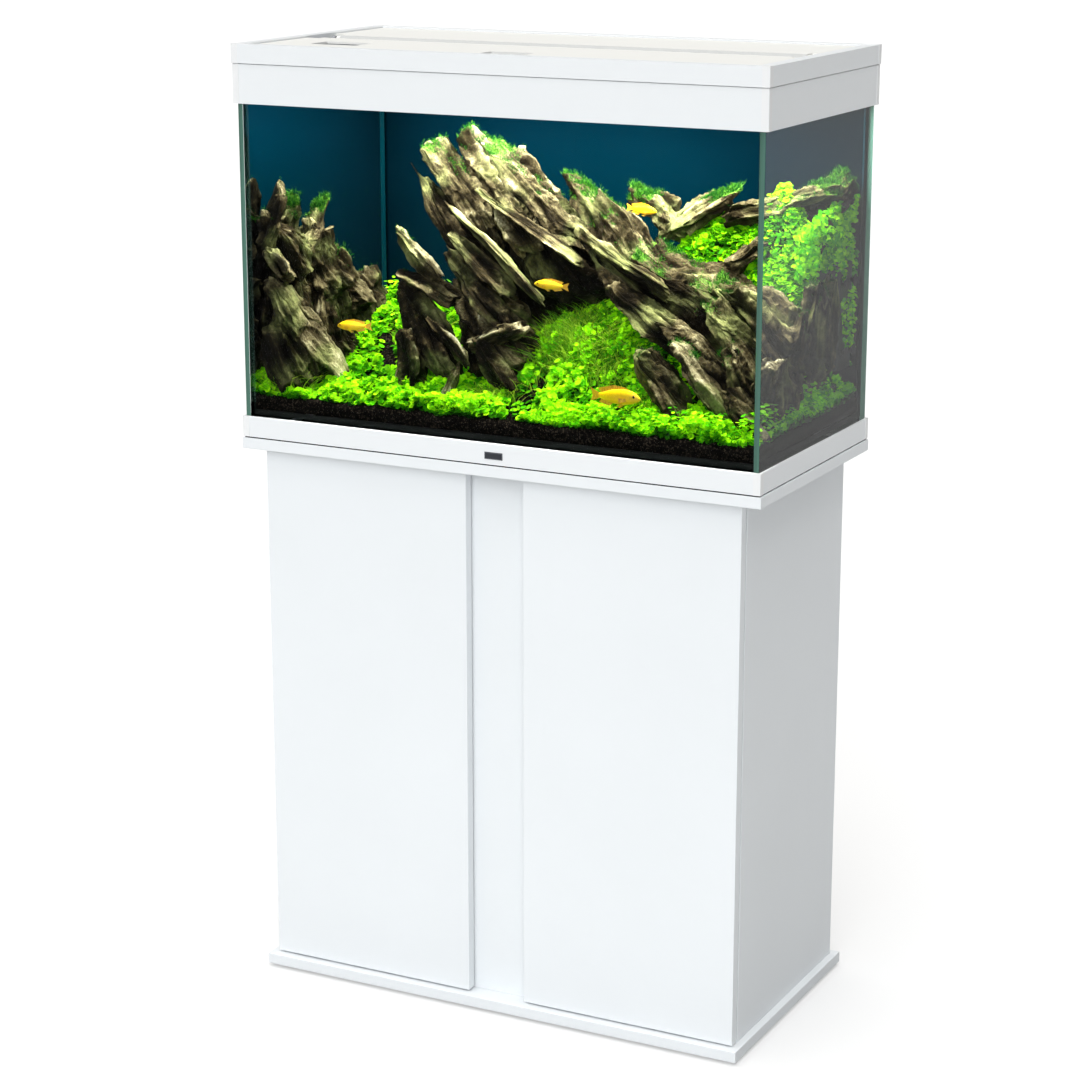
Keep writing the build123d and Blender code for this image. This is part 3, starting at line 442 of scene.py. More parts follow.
def ground_height(x, y):
    clear_of_pane = 1 - smooth_step(0.335, 0.383, x)
    height = 0.880 + 0.045 * smooth_step(-0.19, 0.19, y) * clear_of_pane
    for centre_x, centre_y, half_x, half_y, top in MOUNDS:
        away = ((x - centre_x) / half_x) ** 2 + ((y - centre_y) / half_y) ** 2
        height = height + top * np.exp(-away) * clear_of_pane
    return height


def lumpy_ground(x, y):
    flat = xyz(x, y, 0.0).reshape(-1, 3)
    lumps = fractal(flat * 45, 71, 3).reshape(np.shape(x)) * 0.0035
    return ground_height(x, y) + lumps


def build_ground(material):
    """The substrate: a lumpy top, and sides that stand against the four panes."""
    columns, rows = 330, 160
    across = np.linspace(-INSIDE_X, INSIDE_X, columns)
    x, y = np.meshgrid(across, np.linspace(-INSIDE_Y, INSIDE_Y, rows))
    grains = fractal(xyz(x, y, 0.0).reshape(-1, 3) * 420, 73, 2).reshape(x.shape)
    top = xyz(x, y, lumpy_ground(x, y) + grains * 0.0012)
    bottom = top.copy()
    bottom[..., 2] = TANK_FLOOR + 0.0004
    quads = [row_quads(rows, columns), row_quads(rows, columns, flipped=True) + columns * rows]
    number = np.arange(columns * rows).reshape(rows, columns)
    for edge in (number[0], number[:, -1], number[-1, ::-1], number[::-1, 0]):
        low = edge + columns * rows
        quads.append(np.stack([low[:-1], low[1:], edge[1:], edge[:-1]], axis=-1))
    points = np.concatenate([top.reshape(-1, 3), bottom.reshape(-1, 3)])
    piece = make_piece("ground", points, np.concatenate(quads), material)
    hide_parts("substrate")


def build_grit(material):
    """Loose grains along the top of the substrate, seen at the panes and between the plants."""
    chance = np.random.default_rng(21)
    count = 16000
    x = chance.uniform(-INSIDE_X + 0.002, INSIDE_X - 0.002, count)
    near_front = chance.random(count) < 0.55
    front = -INSIDE_Y + 0.002 + np.abs(chance.normal(0, 0.02, count))
    y = np.where(near_front, front, chance.uniform(-INSIDE_Y, INSIDE_Y, count) * 0.98)
    centre = xyz(x, y, lumpy_ground(x, y) + 0.0004)
    corners = np.array([[1, 0, 0], [-1, 0, 0], [0, 1, 0], [0, -1, 0], [0, 0, 1], [0, 0, -1]], float)
    faces = [[0, 2, 4], [2, 1, 4], [1, 3, 4], [3, 0, 4], [2, 0, 5], [1, 2, 5], [3, 1, 5], [0, 3, 5]]
    size = chance.uniform(0.0009, 0.0019, (count, 1, 1)) * chance.uniform(0.7, 1.2, (count, 6, 1))
    points = centre[:, None] + corners * size
    triangles = copies_of(faces, count, 6)
    tone = {"tone": np.repeat(chance.uniform(0, 1, count), 6)}
    make_piece("grit", points.reshape(-1, 3), triangles, material, tone, smooth=False)


def leaf_fans(centres, normals, sizes, chance, sides=6):
    """Small round cupped leaves: a ring of points round a lowered middle, as triangles."""
    first = unit(np.cross(normals, chance.normal(0, 1, normals.shape)))
    second = np.cross(normals, first)
    angle = np.linspace(0, 2 * math.pi, sides, endpoint=False)
    ring = (
        centres[:, None]
        + first[:, None] * (np.cos(angle) * 1.15)[None, :, None] * sizes[:, None, None]
        + second[:, None] * np.sin(angle)[None, :, None] * sizes[:, None, None]
        + normals[:, None] * sizes[:, None, None] * 0.28
    )
    points = np.concatenate([centres[:, None], ring], axis=1)
    fan = [[0, i + 1, (i + 1) % sides + 1] for i in range(sides)]
    return points.reshape(-1, 3), copies_of(fan, len(centres), sides + 1)


def build_carpet(material):
    """A low carpet of round leaves over the ground, in soft clumps, with more on the steep slopes."""
    chance = np.random.default_rng(31)
    count = 70000
    x = chance.uniform(-INSIDE_X + 0.003, INSIDE_X - 0.003, count)
    spread = chance.uniform(0, 1, count) ** 1.3
    y = -INSIDE_Y + 0.004 + spread * (2 * INSIDE_Y - 0.008)
    for more, low_x, low_y, high_y in ((24000, 0.10, 0.0, 0.16), (9000, 0.34, -0.18, 0.18)):
        x = np.append(x, chance.uniform(low_x, INSIDE_X - 0.003, more))
        y = np.append(y, chance.uniform(low_y, high_y, more))
    flat = xyz(x, y, 0.0)
    clump = fractal(flat * 48, 81, 3)
    patch = fractal(flat * 11, 83, 2)
    keep = chance.random(len(x)) < smooth_step(-0.65, 0.2, clump + patch * 0.4)
    x, y, clump = x[keep], y[keep], clump[keep]
    level = chance.uniform(0, 1, len(x)) ** 0.65
    rise = (0.004 + 0.022 * smooth_step(-0.4, 0.6, clump)) * level
    centres = xyz(x, y, lumpy_ground(x, y) + rise)
    normals = unit(chance.normal(0, 0.55, (len(x), 3)) + [0, -0.30, 1])
    sizes = chance.uniform(0.0026, 0.0050, len(x))
    points, triangles = leaf_fans(centres, normals, sizes, chance)
    # Leaves lower in the carpet are darker and the top ones paler: painted shade and painted light
    # within the carpet, carried by the tone field.
    light = np.clip(level**2.2 * 0.95 + chance.normal(0.0, 0.14, len(x)), 0, 1)
    tone = {"tone": np.repeat(light, 7)}
    return make_piece("carpet_plants", points, triangles, material, tone, smooth=False)


# Each bush: how many stems, and the ranges of their x, y and height in metres.
BUSHES = [
    (150, (0.340, 0.386), (-0.14, 0.08), (0.02, 0.05)),
    (60, (0.13, 0.31), (0.05, 0.10), (0.015, 0.03)),
    (46, (0.23, 0.385), (-0.175, -0.13), (0.015, 0.04)),
    (26, (-0.35, -0.2), (0.08, 0.17), (0.02, 0.05)),
]


def build_bushes(material):
    """Stems with paired round leaves: at the right pane, and here and there among the rocks."""
    chance = np.random.default_rng(41)
    stems = []
    for count, *ranges in BUSHES:
        for _ in range(count):
            stems.append([chance.uniform(low, high) for low, high in ranges])
    centres, normals, sizes = [], [], []
    for x, y, tall in stems:
        base = np.array([x, y, float(ground_height(np.array(x), np.array(y)))])
        lean = np.append(chance.normal(0, 0.16, 2), 1.0)
        for step in np.arange(0.25, 1.0, 0.0065 / tall):
            turn = chance.uniform(0, 2 * math.pi)
            for half in (0, math.pi):
                out = np.array([math.cos(turn + half), math.sin(turn + half), 0.25])
                centres.append(base + lean * tall * step + out * 0.0042)
                normals.append(out * 0.35 + [0, 0, 1] + chance.normal(0, 0.25, 3))
                sizes.append(chance.uniform(0.0026, 0.0042))
    # leaves that hang like a curtain against the right pane
    curtain = 5200
    y = chance.uniform(-0.03, 0.183, curtain)
    z = chance.uniform(0.93, 1.172, curtain)
    spot = xyz(0.0, y, z)
    lowest = 1.080 - 4.5 * np.maximum(y - 0.115, 0)
    grows = (z > lowest) & (z < 1.150 + 0.2 * y) & (fractal(spot * 38, 87, 3) > -0.22)
    spot[:, 0] = chance.uniform(0.374, 0.387, curtain)
    centres = np.concatenate([np.array(centres), spot[grows]])
    outward = chance.normal(0, 0.5, (int(grows.sum()), 3)) + [0.7, -0.5, 0.6]
    normals = np.concatenate([np.array(normals), outward])
    sizes = np.append(sizes, chance.uniform(0.0024, 0.0040, len(outward)))
    normals = unit(normals)
    keep_inside(centres, 0.005)
    points, triangles = leaf_fans(centres, normals, sizes, chance)
    tone = np.repeat(np.clip(chance.normal(0.62, 0.2, len(centres)), 0, 1), 7)
    make_piece("bush_leaves", points, triangles, material, {"tone": tone})


# Each patch of fine grass: centre x, y (m), spread x, y, how many blades, blade length (m).
GRASS = [
    (0.080, -0.050, 0.075, 0.035, 1500, 0.038),
    (0.030, -0.030, 0.050, 0.030, 900, 0.044),
    (-0.355, -0.150, 0.030, 0.030, 420, 0.044),
    (-0.225, 0.030, 0.030, 0.030, 520, 0.050),
    (-0.040, -0.115, 0.028, 0.014, 420, 0.034),
    (0.190, -0.080, 0.030, 0.020, 260, 0.036),
    (-0.180, -0.060, 0.020, 0.030, 200, 0.034),
]


def build_grass(material):
    """Thin curved blades in loose tufts, each blade four short panels that narrow to a point."""
    chance = np.random.default_rng(51)
    points, quads, tones, start = [], [], [], 0
    for centre_x, centre_y, spread_x, spread_y, count, tall in GRASS:
        x = np.clip(chance.normal(centre_x, spread_x * 0.6, count), -INSIDE_X + 0.01, INSIDE_X - 0.01)
        y = np.clip(chance.normal(centre_y, spread_y * 0.6, count), -INSIDE_Y + 0.01, INSIDE_Y - 0.01)
        root = xyz(x, y, lumpy_ground(x, y))
        lean = chance.normal(0, 0.55, (count, 3)) * [1, 1, 0]
        length = tall * chance.uniform(0.45, 1.15, count)
        across = unit(np.cross(lean + [0, 0, 1], chance.normal(0, 1, (count, 3)))) * 0.00085
        steps = []
        for step in np.linspace(0, 1, 5):
            climb = np.array([0, 0, step - 0.25 * step**2])
            spine = root + (lean * step**1.8 + climb) * length[:, None]
            edge = across * (1.05 - step)
            steps.append(np.stack([spine - edge, spine + edge], axis=1))
        blade = np.concatenate(steps, axis=1)
        keep_inside(blade)
        panels = [[2 * i, 2 * i + 1, 2 * i + 3, 2 * i + 2] for i in range(4)]
        points.append(blade.reshape(-1, 3))
        quads.append(copies_of(panels, count, 10) + start)
        start += count * 10
        tones.append(np.repeat(chance.uniform(0.25, 1.0, count), 10))
    tone = {"tone": np.concatenate(tones)}
    make_piece("grass", np.concatenate(points), np.concatenate(quads), material, tone)


# ---------------------------------------------------------------- fish
# Each fish: middle x, y, z, length (m), heading (-1 left, 1 right), turn (degrees), tilt (degrees).
FISH = [
    (-0.271, -0.104, 0.977, 0.054, -1, 6, -2),
    (0.047, -0.104, 1.060, 0.050, -1, 8, 3),
    (0.171, -0.158, 0.925, 0.084, 1, -10, 2),
    (0.134, 0.000, 1.158, 0.050, 1, -6, -3),
]
# Body outline from the mouth (0) to the tail root (1): station, top, bottom, half-width, in lengths.
FISH_RINGS = [
    (0.000, 0.012, -0.016, 0.010),
    (0.030, 0.045, -0.042, 0.030),
    (0.090, 0.085, -0.070, 0.050),
    (0.180, 0.122, -0.098, 0.064),
    (0.290, 0.142, -0.116, 0.070),
    (0.420, 0.140, -0.118, 0.066),
    (0.550, 0.118, -0.100, 0.054),
    (0.670, 0.084, -0.072, 0.038),
    (0.760, 0.056, -0.050, 0.024),
    (0.820, 0.046, -0.043, 0.016),
]


# Back, tail, rear belly and front belly fins: inner edge, outer edge, height of the ripple.
FISH_FINS = [
    ([(0.20, 0.122), (0.45, 0.132), (0.76, 0.05)], [(0.27, 0.165), (0.50, 0.195), (0.84, 0.118)], 0.002),
    ([(0.80, 0.044), (0.82, 0.0), (0.80, -0.042)], [(1.0, 0.118), (0.955, 0.0), (1.0, -0.112)], 0.004),
    ([(0.52, -0.10), (0.76, -0.048)], [(0.60, -0.155), (0.82, -0.11)], 0.002),
    ([(0.30, -0.108), (0.38, -0.112)], [(0.40, -0.175), (0.47, -0.155)], 0.002),
]


def fish_body():
    """The scaled body as rings of points, closed at the mouth and the tail root."""
    around = 22
    stations = np.linspace(0, 0.82, 34)
    rings = np.array(FISH_RINGS)
    top, bottom, half = (np.interp(stations, rings[:, 0], rings[:, i]) for i in (1, 2, 3))
    angle = np.linspace(0, 2 * math.pi, around, endpoint=False)
    middle, tall = (top + bottom) / 2, (top - bottom) / 2
    sideways, upward = np.outer(half, np.sin(angle)), np.outer(tall, np.cos(angle))
    points = xyz(stations[:, None], sideways, middle[:, None] + upward).reshape(-1, 3)
    quads = list(row_quads(len(stations), around, closed=True))
    for ring, outward in ((0, -1), (len(stations) - 1, 1)):
        first = ring * around
        for i in range(1, around // 2):
            quad = [first + i - 1, first + i, first + around - i - 1, first + (around - i) % around]
            quads.append(quad if outward < 0 else quad[::-1])
    return points, np.array(quads)


def fish_fin(edge_in, edge_out, wave):
    """A thin rippled web between two edges, given as lists of (x, z) in body lengths."""
    columns, rows = 18, 7
    along = np.linspace(0, 1, columns)
    ends = []
    for edge in (edge_in, edge_out):
        edge = np.array(edge)
        marks = np.linspace(0, 1, len(edge))
        ends.append(np.stack([np.interp(along, marks, edge[:, i]) for i in (0, 1)], axis=1))
    points = []
    for side in (-1, 1):
        for row in range(rows):
            part = row / (rows - 1)
            flat = ends[0] * (1 - part) + ends[1] * part
            thick = side * 0.004 * (1 - 0.85 * part)
            ripple = wave * part * np.sin(along * 26)
            points.append(xyz(flat[:, 0], thick + ripple, flat[:, 1]))
    sheet = row_quads(rows, columns)
    back_sheet = row_quads(rows, columns, flipped=True) + rows * columns
    return np.concatenate(points), np.concatenate([sheet, back_sheet])


def fish_eye(side):
    """A slightly domed eye on one side of the head."""
    angle = np.linspace(0, 2 * math.pi, 16, endpoint=False)
    points = []
    rings = ((0.027, 0.0), (0.026, 0.006), (0.019, 0.010), (0.010, 0.012), (0.002, 0.0125))
    for radius, proud in rings:
        across, up = radius * np.cos(angle), radius * np.sin(angle)
        points.append(xyz(0.098 + across, side * (0.044 + proud), 0.035 + up))
    ring_number = np.repeat([1.0, 1.0, 1.6, 2.0, 2.0], 16)
    return np.concatenate(points), row_quads(len(rings), 16, True, side < 0), ring_number


def fish_parts():
    """All of one fish, a body length long, mouth at x = 0; part says body 0, fin 0.5, eye 1 to 2."""
    parts = []
    points, quads = fish_body()
    parts.append((points, quads, {"part": np.zeros(len(points))}))
    for fin in FISH_FINS:
        points, quads = fish_fin(*fin)
        parts.append((points, quads, {"part": np.full(len(points), 0.5)}))
    for side in (-1, 1):
        points, quads = fish_fin([(0.235, 0.0), (0.235, -0.045)], [(0.36, 0.005), (0.34, -0.075)], 0.002)
        points[:, 1] = points[:, 1] + side * (0.066 + (points[:, 0] - 0.235) * 0.35)
        parts.append((points, quads, {"part": np.full(len(points), 0.5)}))
        points, quads, ring_number = fish_eye(side)
        parts.append((points, quads, {"part": ring_number}))
    return joined(parts)


def turned(a, b, angle):
    """Two coordinates turned by an angle in their own plane."""
    cos, sin = math.cos(angle), math.sin(angle)
    return a * cos - b * sin, a * sin + b * cos


def build_fish(material):
    points, quads, fields = fish_parts()
    shoal = []
    for number, (x, y, z, length, heading, turn, tilt) in enumerate(FISH):
        swim = points.copy()
        swim[:, 1] += 0.03 * np.sin(swim[:, 0] * 5 + number) * swim[:, 0]
        swim[:, 0] = 0.5 - swim[:, 0]
        local = swim * length
        lean = math.radians(tilt)
        ahead, up = turned(local[:, 0], local[:, 2], lean)
        facing = math.radians(turn if heading > 0 else 180 + turn)
        to_x, to_y = turned(ahead, local[:, 1], facing)
        shoal.append((xyz(x + to_x, y + to_y, z + up), quads, {**fields, "grain": points}))
    points, quads, fields = joined(shoal)
    piece = make_piece("fish_shoal", points, quads, material, fields)
    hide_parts("fish")


# ---------------------------------------------------------------- materials
class Finish:
    """A material being made: add() makes a shader node and sets or links its inputs."""

    def __init__(self, name):
        self.material = bpy.data.materials.new(name)
        self.material.use_nodes = True
        self.tree = self.material.node_tree
        self.tree.nodes.clear()
        self.output = self.tree.nodes.new("ShaderNodeOutputMaterial")

    def add(self, kind, inputs=None, **settings):
        node = self.tree.nodes.new("ShaderNode" + kind)
        for setting, value in settings.items():
            setattr(node, setting, value)
        for key, value in (inputs or {}).items():
            if isinstance(value, bpy.types.NodeSocket):
                self.tree.links.new(value, node.inputs[key])
            else:
                node.inputs[key].default_value = value
        return node

    def place(self):
        return self.add("TexCoord").outputs["Object"]

    def axes(self, vector):
        return self.add("SeparateXYZ", {0: vector}).outputs

    def field(self, name, kind="Fac"):
        return self.add("Attribute", attribute_name=name, attribute_type="GEOMETRY").outputs[kind]

    def stretch(self, vector, scale):
        return self.add("VectorMath", {0: vector, 1: scale}, operation="MULTIPLY").outputs[0]

    def noise(self, vector, scale, detail=3.0, roughness=0.5):
        inputs = {"Vector": vector, "Scale": scale, "Detail": detail, "Roughness": roughness}
        return self.add("TexNoise", inputs).outputs["Fac"]

    def maths(self, operation, a, b=0.0, c=0.0, clamp=False):
        node = self.add("Math", {0: a, 1: b, 2: c}, operation=operation, use_clamp=clamp)
        return node.outputs[0]

    def span(self, value, low, high, new_low=0.0, new_high=1.0):
        inputs = {0: value, 1: low, 2: high, 3: new_low, 4: new_high}
        return self.add("MapRange", inputs, interpolation_type="SMOOTHSTEP").outputs[0]

    def between(self, value, low, high):
        above, below = self.maths("GREATER_THAN", value, low), self.maths("LESS_THAN", value, high)
        return self.maths("MULTIPLY", above, below)

    def ramp(self, factor, stops):
        node = self.add("ValToRGB", {"Fac": factor})
        band = node.color_ramp
        while len(band.elements) < len(stops):
            band.elements.new(0.5)
        for element, (position, colour) in zip(band.elements, stops):
            element.position = position
            element.color = (*colour, 1)
        return node.outputs["Color"]

    def mix(self, factor, a, b):
        a = (*a, 1) if isinstance(a, tuple) else a
        b = (*b, 1) if isinstance(b, tuple) else b
        return self.add("Mix", {0: factor, 6: a, 7: b}, data_type="RGBA").outputs[2]

    def weighed(self, parts):
        """The sum of several values, each times its weight."""
        total = 0.0
        for value, weight in parts:
            total = self.maths("MULTIPLY_ADD", value, weight, total)
        return total

    def bump(self, height, strength, distance):
        inputs = {"Height": height, "Strength": strength, "Distance": distance}
        return self.add("Bump", inputs).outputs["Normal"]

    def skin(self, **inputs):
        named = {key.replace("_", " "): value for key, value in inputs.items()}
        return self.add("BsdfPrincipled", named).outputs[0]

    def blend(self, share, first, second):
        return self.add("MixShader", {0: share, 1: first, 2: second}).outputs[0]

    def finish(self, **inputs):
        return self.surface(self.skin(**inputs))

    def surface(self, shader):
        self.tree.links.new(shader, self.output.inputs["Surface"])
        return self.material


def dimmed(colour, share):
    return tuple(part * share for part in colour)


def plain_finish(name, colour, roughness, grain_scale, grain_depth, spread=0.06):
    """A moulded or painted surface: faint cloudy colour, uneven gloss and a fine skin texture."""
    f = Finish(name)
    place = f.place()
    cloud = f.noise(place, 2.5, 2)
    shade = f.mix(f.span(cloud, 0.2, 0.8), dimmed(colour, 1 - spread), colour)
    grain = f.noise(place, grain_scale, 3)
    shade = f.mix(f.span(grain, 0.55, 0.8, 0, 0.10), shade, dimmed(colour, 0.93))
    gloss = f.span(grain, 0.2, 0.8, roughness - 0.02, roughness + 0.04)
    return f.finish(Base_Color=shade, Roughness=gloss, Normal=f.bump(grain, 0.15, grain_depth))


def board_finish(name, colour, roughness):
    """Melamine-faced board: a fine pearl texture and a slightly duller, warmer edge band."""
    f = Finish(name)
    place = f.place()
    pearl = f.noise(place, 900, 3)
    streak = f.noise(f.stretch(place, (160, 160, 6)), 1, 3)
    cloud = f.span(f.noise(place, 5, 3), 0.3, 0.7)
    shade = f.mix(cloud, dimmed(colour, 0.985), colour)
    shade = f.mix(f.span(streak, 0.62, 0.85, 0, 0.10), shade, dimmed(colour, 0.92))
    gloss = f.span(pearl, 0.3, 0.7, roughness - 0.05, roughness + 0.08)
    height = f.weighed([(pearl, 0.6), (streak, 0.4)])
    return f.finish(Base_Color=shade, Roughness=gloss, Normal=f.bump(height, 0.2, 0.0004))


def metal_finish(name, colour, roughness):
    f = Finish(name)
    place = f.place()
    lines = f.noise(f.stretch(place, (40, 40, 1500)), 1, 3)
    shade = f.mix(lines, dimmed(colour, 0.75), colour)
    gloss = f.span(lines, 0.2, 0.8, roughness - 0.06, roughness + 0.12)
    normal = f.bump(lines, 0.15, 0.0002)
    return f.finish(Base_Color=shade, Metallic=1.0, Roughness=gloss, Normal=normal)


def foam_finish(name, colour):
    f = Finish(name)
    cells = f.add("TexVoronoi", {"Vector": f.place(), "Scale": 900.0}).outputs["Distance"]
    shade = f.mix(cells, dimmed(colour, 0.4), colour)
    return f.finish(Base_Color=shade, Roughness=0.95, Normal=f.bump(cells, 0.8, 0.0008))


GLASS_TINT = (0.975, 0.99, 0.985)
GLASS_EDGE = (0.075, 0.175, 0.135)


def glass_finish(name, inward, gloss_ior, inner_ior, edge=GLASS_EDGE):
    """Float glass: clear faces, green cut edges, and an inner face that mirrors at a slant.

    inward is the axis that points into the tank. The tank is shown filled, so a slanting look
    from inside meets total reflection, which an inner_ior below 1 gives.
    """
    f = Finish(name)
    normal = f.add("TexCoord").outputs["Normal"]
    toward = f.add("VectorMath", {0: normal, 1: inward}, operation="DOT_PRODUCT").outputs["Value"]
    is_inner = f.maths("GREATER_THAN", toward, 0.5)
    is_edge = f.maths("LESS_THAN", f.maths("ABSOLUTE", toward), 0.5)
    outer = f.add("Fresnel", {"IOR": gloss_ior}).outputs[0]
    inner = f.add("Fresnel", {"IOR": inner_ior}).outputs[0]
    chosen = f.add("Mix", {0: is_inner, 2: outer, 3: inner}, data_type="FLOAT").outputs[0]
    entering = f.maths("SUBTRACT", 1.0, f.add("NewGeometry").outputs["Backfacing"])
    mirror = f.add("BsdfGlossy", {"Color": (0.97, 0.98, 0.98, 1), "Roughness": 0.0})
    clear = f.add("BsdfTransparent", {"Color": (*GLASS_TINT, 1)})
    share = f.maths("MULTIPLY", chosen, entering)
    pane = f.blend(share, clear.outputs[0], mirror.outputs[0])
    streaks = f.noise(f.stretch(f.place(), (220, 220, 3)), 1, 3)
    green = f.mix(f.span(streaks, 0.3, 0.7), dimmed(edge, 0.72), edge)
    uneven = f.bump(streaks, 0.2, 0.0003)
    cut = f.skin(Base_Color=green, Roughness=0.25, Specular_IOR_Level=0.3, Normal=uneven)
    return f.surface(f.blend(is_edge, pane, cut))


def silicone_finish():
    """Clear sealant at the front, faintly green; along the bottom and at the film it reads as dark."""
    f = Finish("silicone")
    place = f.place()
    ripples = f.noise(place, 130, 4)
    shade = f.mix(ripples, (0.045, 0.105, 0.082), (0.075, 0.150, 0.120))
    axes = f.axes(place)
    rear = f.span(axes[1], 0.10, 0.16)
    low = f.span(axes[2], 0.875, 0.868)
    shade = f.mix(rear, shade, (0.0, 0.013, 0.019))
    shade = f.mix(low, shade, (0.003, 0.005, 0.004))
    uneven = f.bump(ripples, 0.3, 0.0005)
    body = f.skin(Base_Color=shade, Roughness=0.35, Specular_IOR_Level=0.2, Normal=uneven)
    clear = f.add("BsdfTransparent", {"Color": (0.95, 0.98, 0.97, 1)}).outputs[0]
    share = f.maths("MAXIMUM", f.maths("MAXIMUM", rear, low), 0.15)
    return f.surface(f.blend(share, clear, body))


def backdrop_finish():
    """Deep blue film: lighter in the middle, darker at the ends, with sparse pale specks."""
    f = Finish("blue_film")
    place = f.place()
    axes = f.axes(place)
    aside = f.maths("ABSOLUTE", f.maths("ADD", axes[0], 0.06))
    sideways = f.span(aside, 0.05, 0.5)
    low = f.span(axes[2], 1.30, 0.95)
    drift = f.noise(f.stretch(place, (3, 3, 5)), 1, 3)
    middle = f.mix(low, (0.0, 0.0060, 0.0118), (0.0, 0.0084, 0.0142))
    shade = f.mix(sideways, middle, (0.0, 0.0022, 0.0043))
    shade = f.mix(f.span(drift, 0.35, 0.7, 0, 0.35), shade, (0.0, 0.0073, 0.0130))
    dots = f.add("TexVoronoi", {"Vector": place, "Scale": 34.0}, feature="F1")
    here = f.add("TexWhiteNoise", {"Vector": dots.outputs["Position"]}).outputs["Value"]
    reach = f.maths("MULTIPLY", f.maths("POWER", here, 4.0), 0.055)
    speck = f.maths("LESS_THAN", dots.outputs["Distance"], reach)
    dust = f.span(f.noise(place, 420, 2), 0.70, 0.80, 0, 0.22)
    glow = f.maths("MAXIMUM", f.maths("MULTIPLY", speck, 0.55), dust)
    shade = f.mix(glow, shade, (0.01, 0.15, 0.20))
    # The film also glows with emission in its own colour: painted light, as the film is no lamp.
    return f.finish(
        Base_Color=shade, Roughness=0.6, Specular_IOR_Level=0.05, Emission_Color=shade,
        Emission_Strength=0.3, Normal=f.bump(drift, 0.1, 0.0005),
    )


def rock_finish():
    """Layered stone: dark between its layers, pale on their crests, moss where the moss field says. The
    darkness in notches and sunk ledges is painted shade, and the paleness of upward faces is painted
    light.
    """
    f = Finish("layered_rock")
    grain = f.field("grain", "Vector")
    fibres = f.noise(grain, 1.0, 8, 0.62)
    bands = f.noise(f.stretch(grain, (0.25, 0.5, 1.6)), 0.6, 5, 0.55)
    blotch = f.noise(f.place(), 26, 4, 0.55)
    pits = f.noise(f.place(), 330, 4, 0.6)
    # The ridge and pale fields carry painted shade and painted light into this level.
    parts = [(bands, 0.35), (fibres, 0.75), (f.field("ridge"), 0.55)]
    parts += [(blotch, 0.40), (f.field("pale"), 0.42), (pits, 0.55)]
    level = f.span(f.weighed(parts), 0.88, 2.00)
    shade = f.ramp(
        level,
        [
            (0.0, (0.002, 0.0015, 0.001)),
            (0.30, (0.008, 0.006, 0.003)),
            (0.50, (0.034, 0.026, 0.012)),
            (0.72, (0.120, 0.100, 0.050)),
            (0.88, (0.310, 0.275, 0.160)),
            (1.0, (0.580, 0.540, 0.370)),
        ],
    )
    stain = f.span(f.noise(f.place(), 15, 3), 0.48, 0.70, 0, 0.6)
    shade = f.mix(stain, shade, f.mix(level, (0.008, 0.008, 0.002), (0.42, 0.46, 0.16)))
    tufts = f.span(f.noise(f.place(), 160, 4), 0.3, 0.7)
    green = f.mix(tufts, (0.006, 0.045, 0.004), (0.10, 0.22, 0.02))
    ragged = f.maths("MULTIPLY", f.maths("SUBTRACT", pits, 0.5), 0.7)
    cover = f.span(f.maths("ADD", f.field("moss"), ragged), 0.25, 0.55)
    shade = f.mix(cover, shade, green)
    height = f.weighed([(pits, 0.3), (fibres, 0.7)])
    normal = f.bump(height, 1.0, 0.008)
    gloss = f.span(pits, 0.3, 0.7, 0.55, 0.9)
    return f.finish(Base_Color=shade, Roughness=gloss, Specular_IOR_Level=0.14, Normal=normal)


# Dark, middle and light green of each kind of plant.
MOSS_TONES = ((0.0, 0.020, 0.003), (0.010, 0.085, 0.010), (0.075, 0.22, 0.018))
LEAF_TONES = ((0.002, 0.024, 0.001), (0.060, 0.400, 0.003), (0.42, 0.88, 0.008))
GRASS_TONES = ((0.010, 0.045, 0.003), (0.090, 0.28, 0.008), (0.42, 0.62, 0.04))


def leaf_finish(name, dark, middle, light, through, glow):
    """Thin green leaves that let some light through; the tone field runs from dark to light."""
    f = Finish(name)
    patch = f.noise(f.place(), 22, 3)
    drift = f.maths("MULTIPLY", f.maths("SUBTRACT", patch, 0.5), 0.9)
    tone = f.maths("ADD", f.field("tone"), drift, clamp=True)
    shade = f.ramp(tone, [(0.0, dark), (0.5, middle), (1.0, light)])
    veins = f.noise(f.place(), 700, 3)
    # Emission at glow strength paints light into the leaves and moss, which are no lamp.
    leaf = f.skin(
        Base_Color=shade, Roughness=f.span(veins, 0.3, 0.7, 0.38, 0.6), Specular_IOR_Level=0.15,
        Emission_Color=shade, Emission_Strength=glow, Normal=f.bump(veins, 0.3, 0.0006),
    )
    behind = f.add("BsdfTranslucent", {"Color": shade}).outputs[0]
    return f.surface(f.blend(through, leaf, behind))


def soil_finish():
    f = Finish("dark_soil")
    cells = f.add("TexVoronoi", {"Vector": f.place(), "Scale": 520.0})
    tint = f.add("SeparateColor", {0: cells.outputs["Color"]}).outputs[0]
    tones = [(0.0, (0.001, 0.001, 0.001)), (0.75, (0.006, 0.005, 0.004)), (1.0, (0.040, 0.030, 0.022))]
    height = f.maths("SUBTRACT", 1.0, cells.outputs["Distance"])
    uneven = f.bump(height, 0.9, 0.0012)
    shade = f.ramp(tint, tones)
    return f.finish(Base_Color=shade, Roughness=0.85, Specular_IOR_Level=0.05, Normal=uneven)


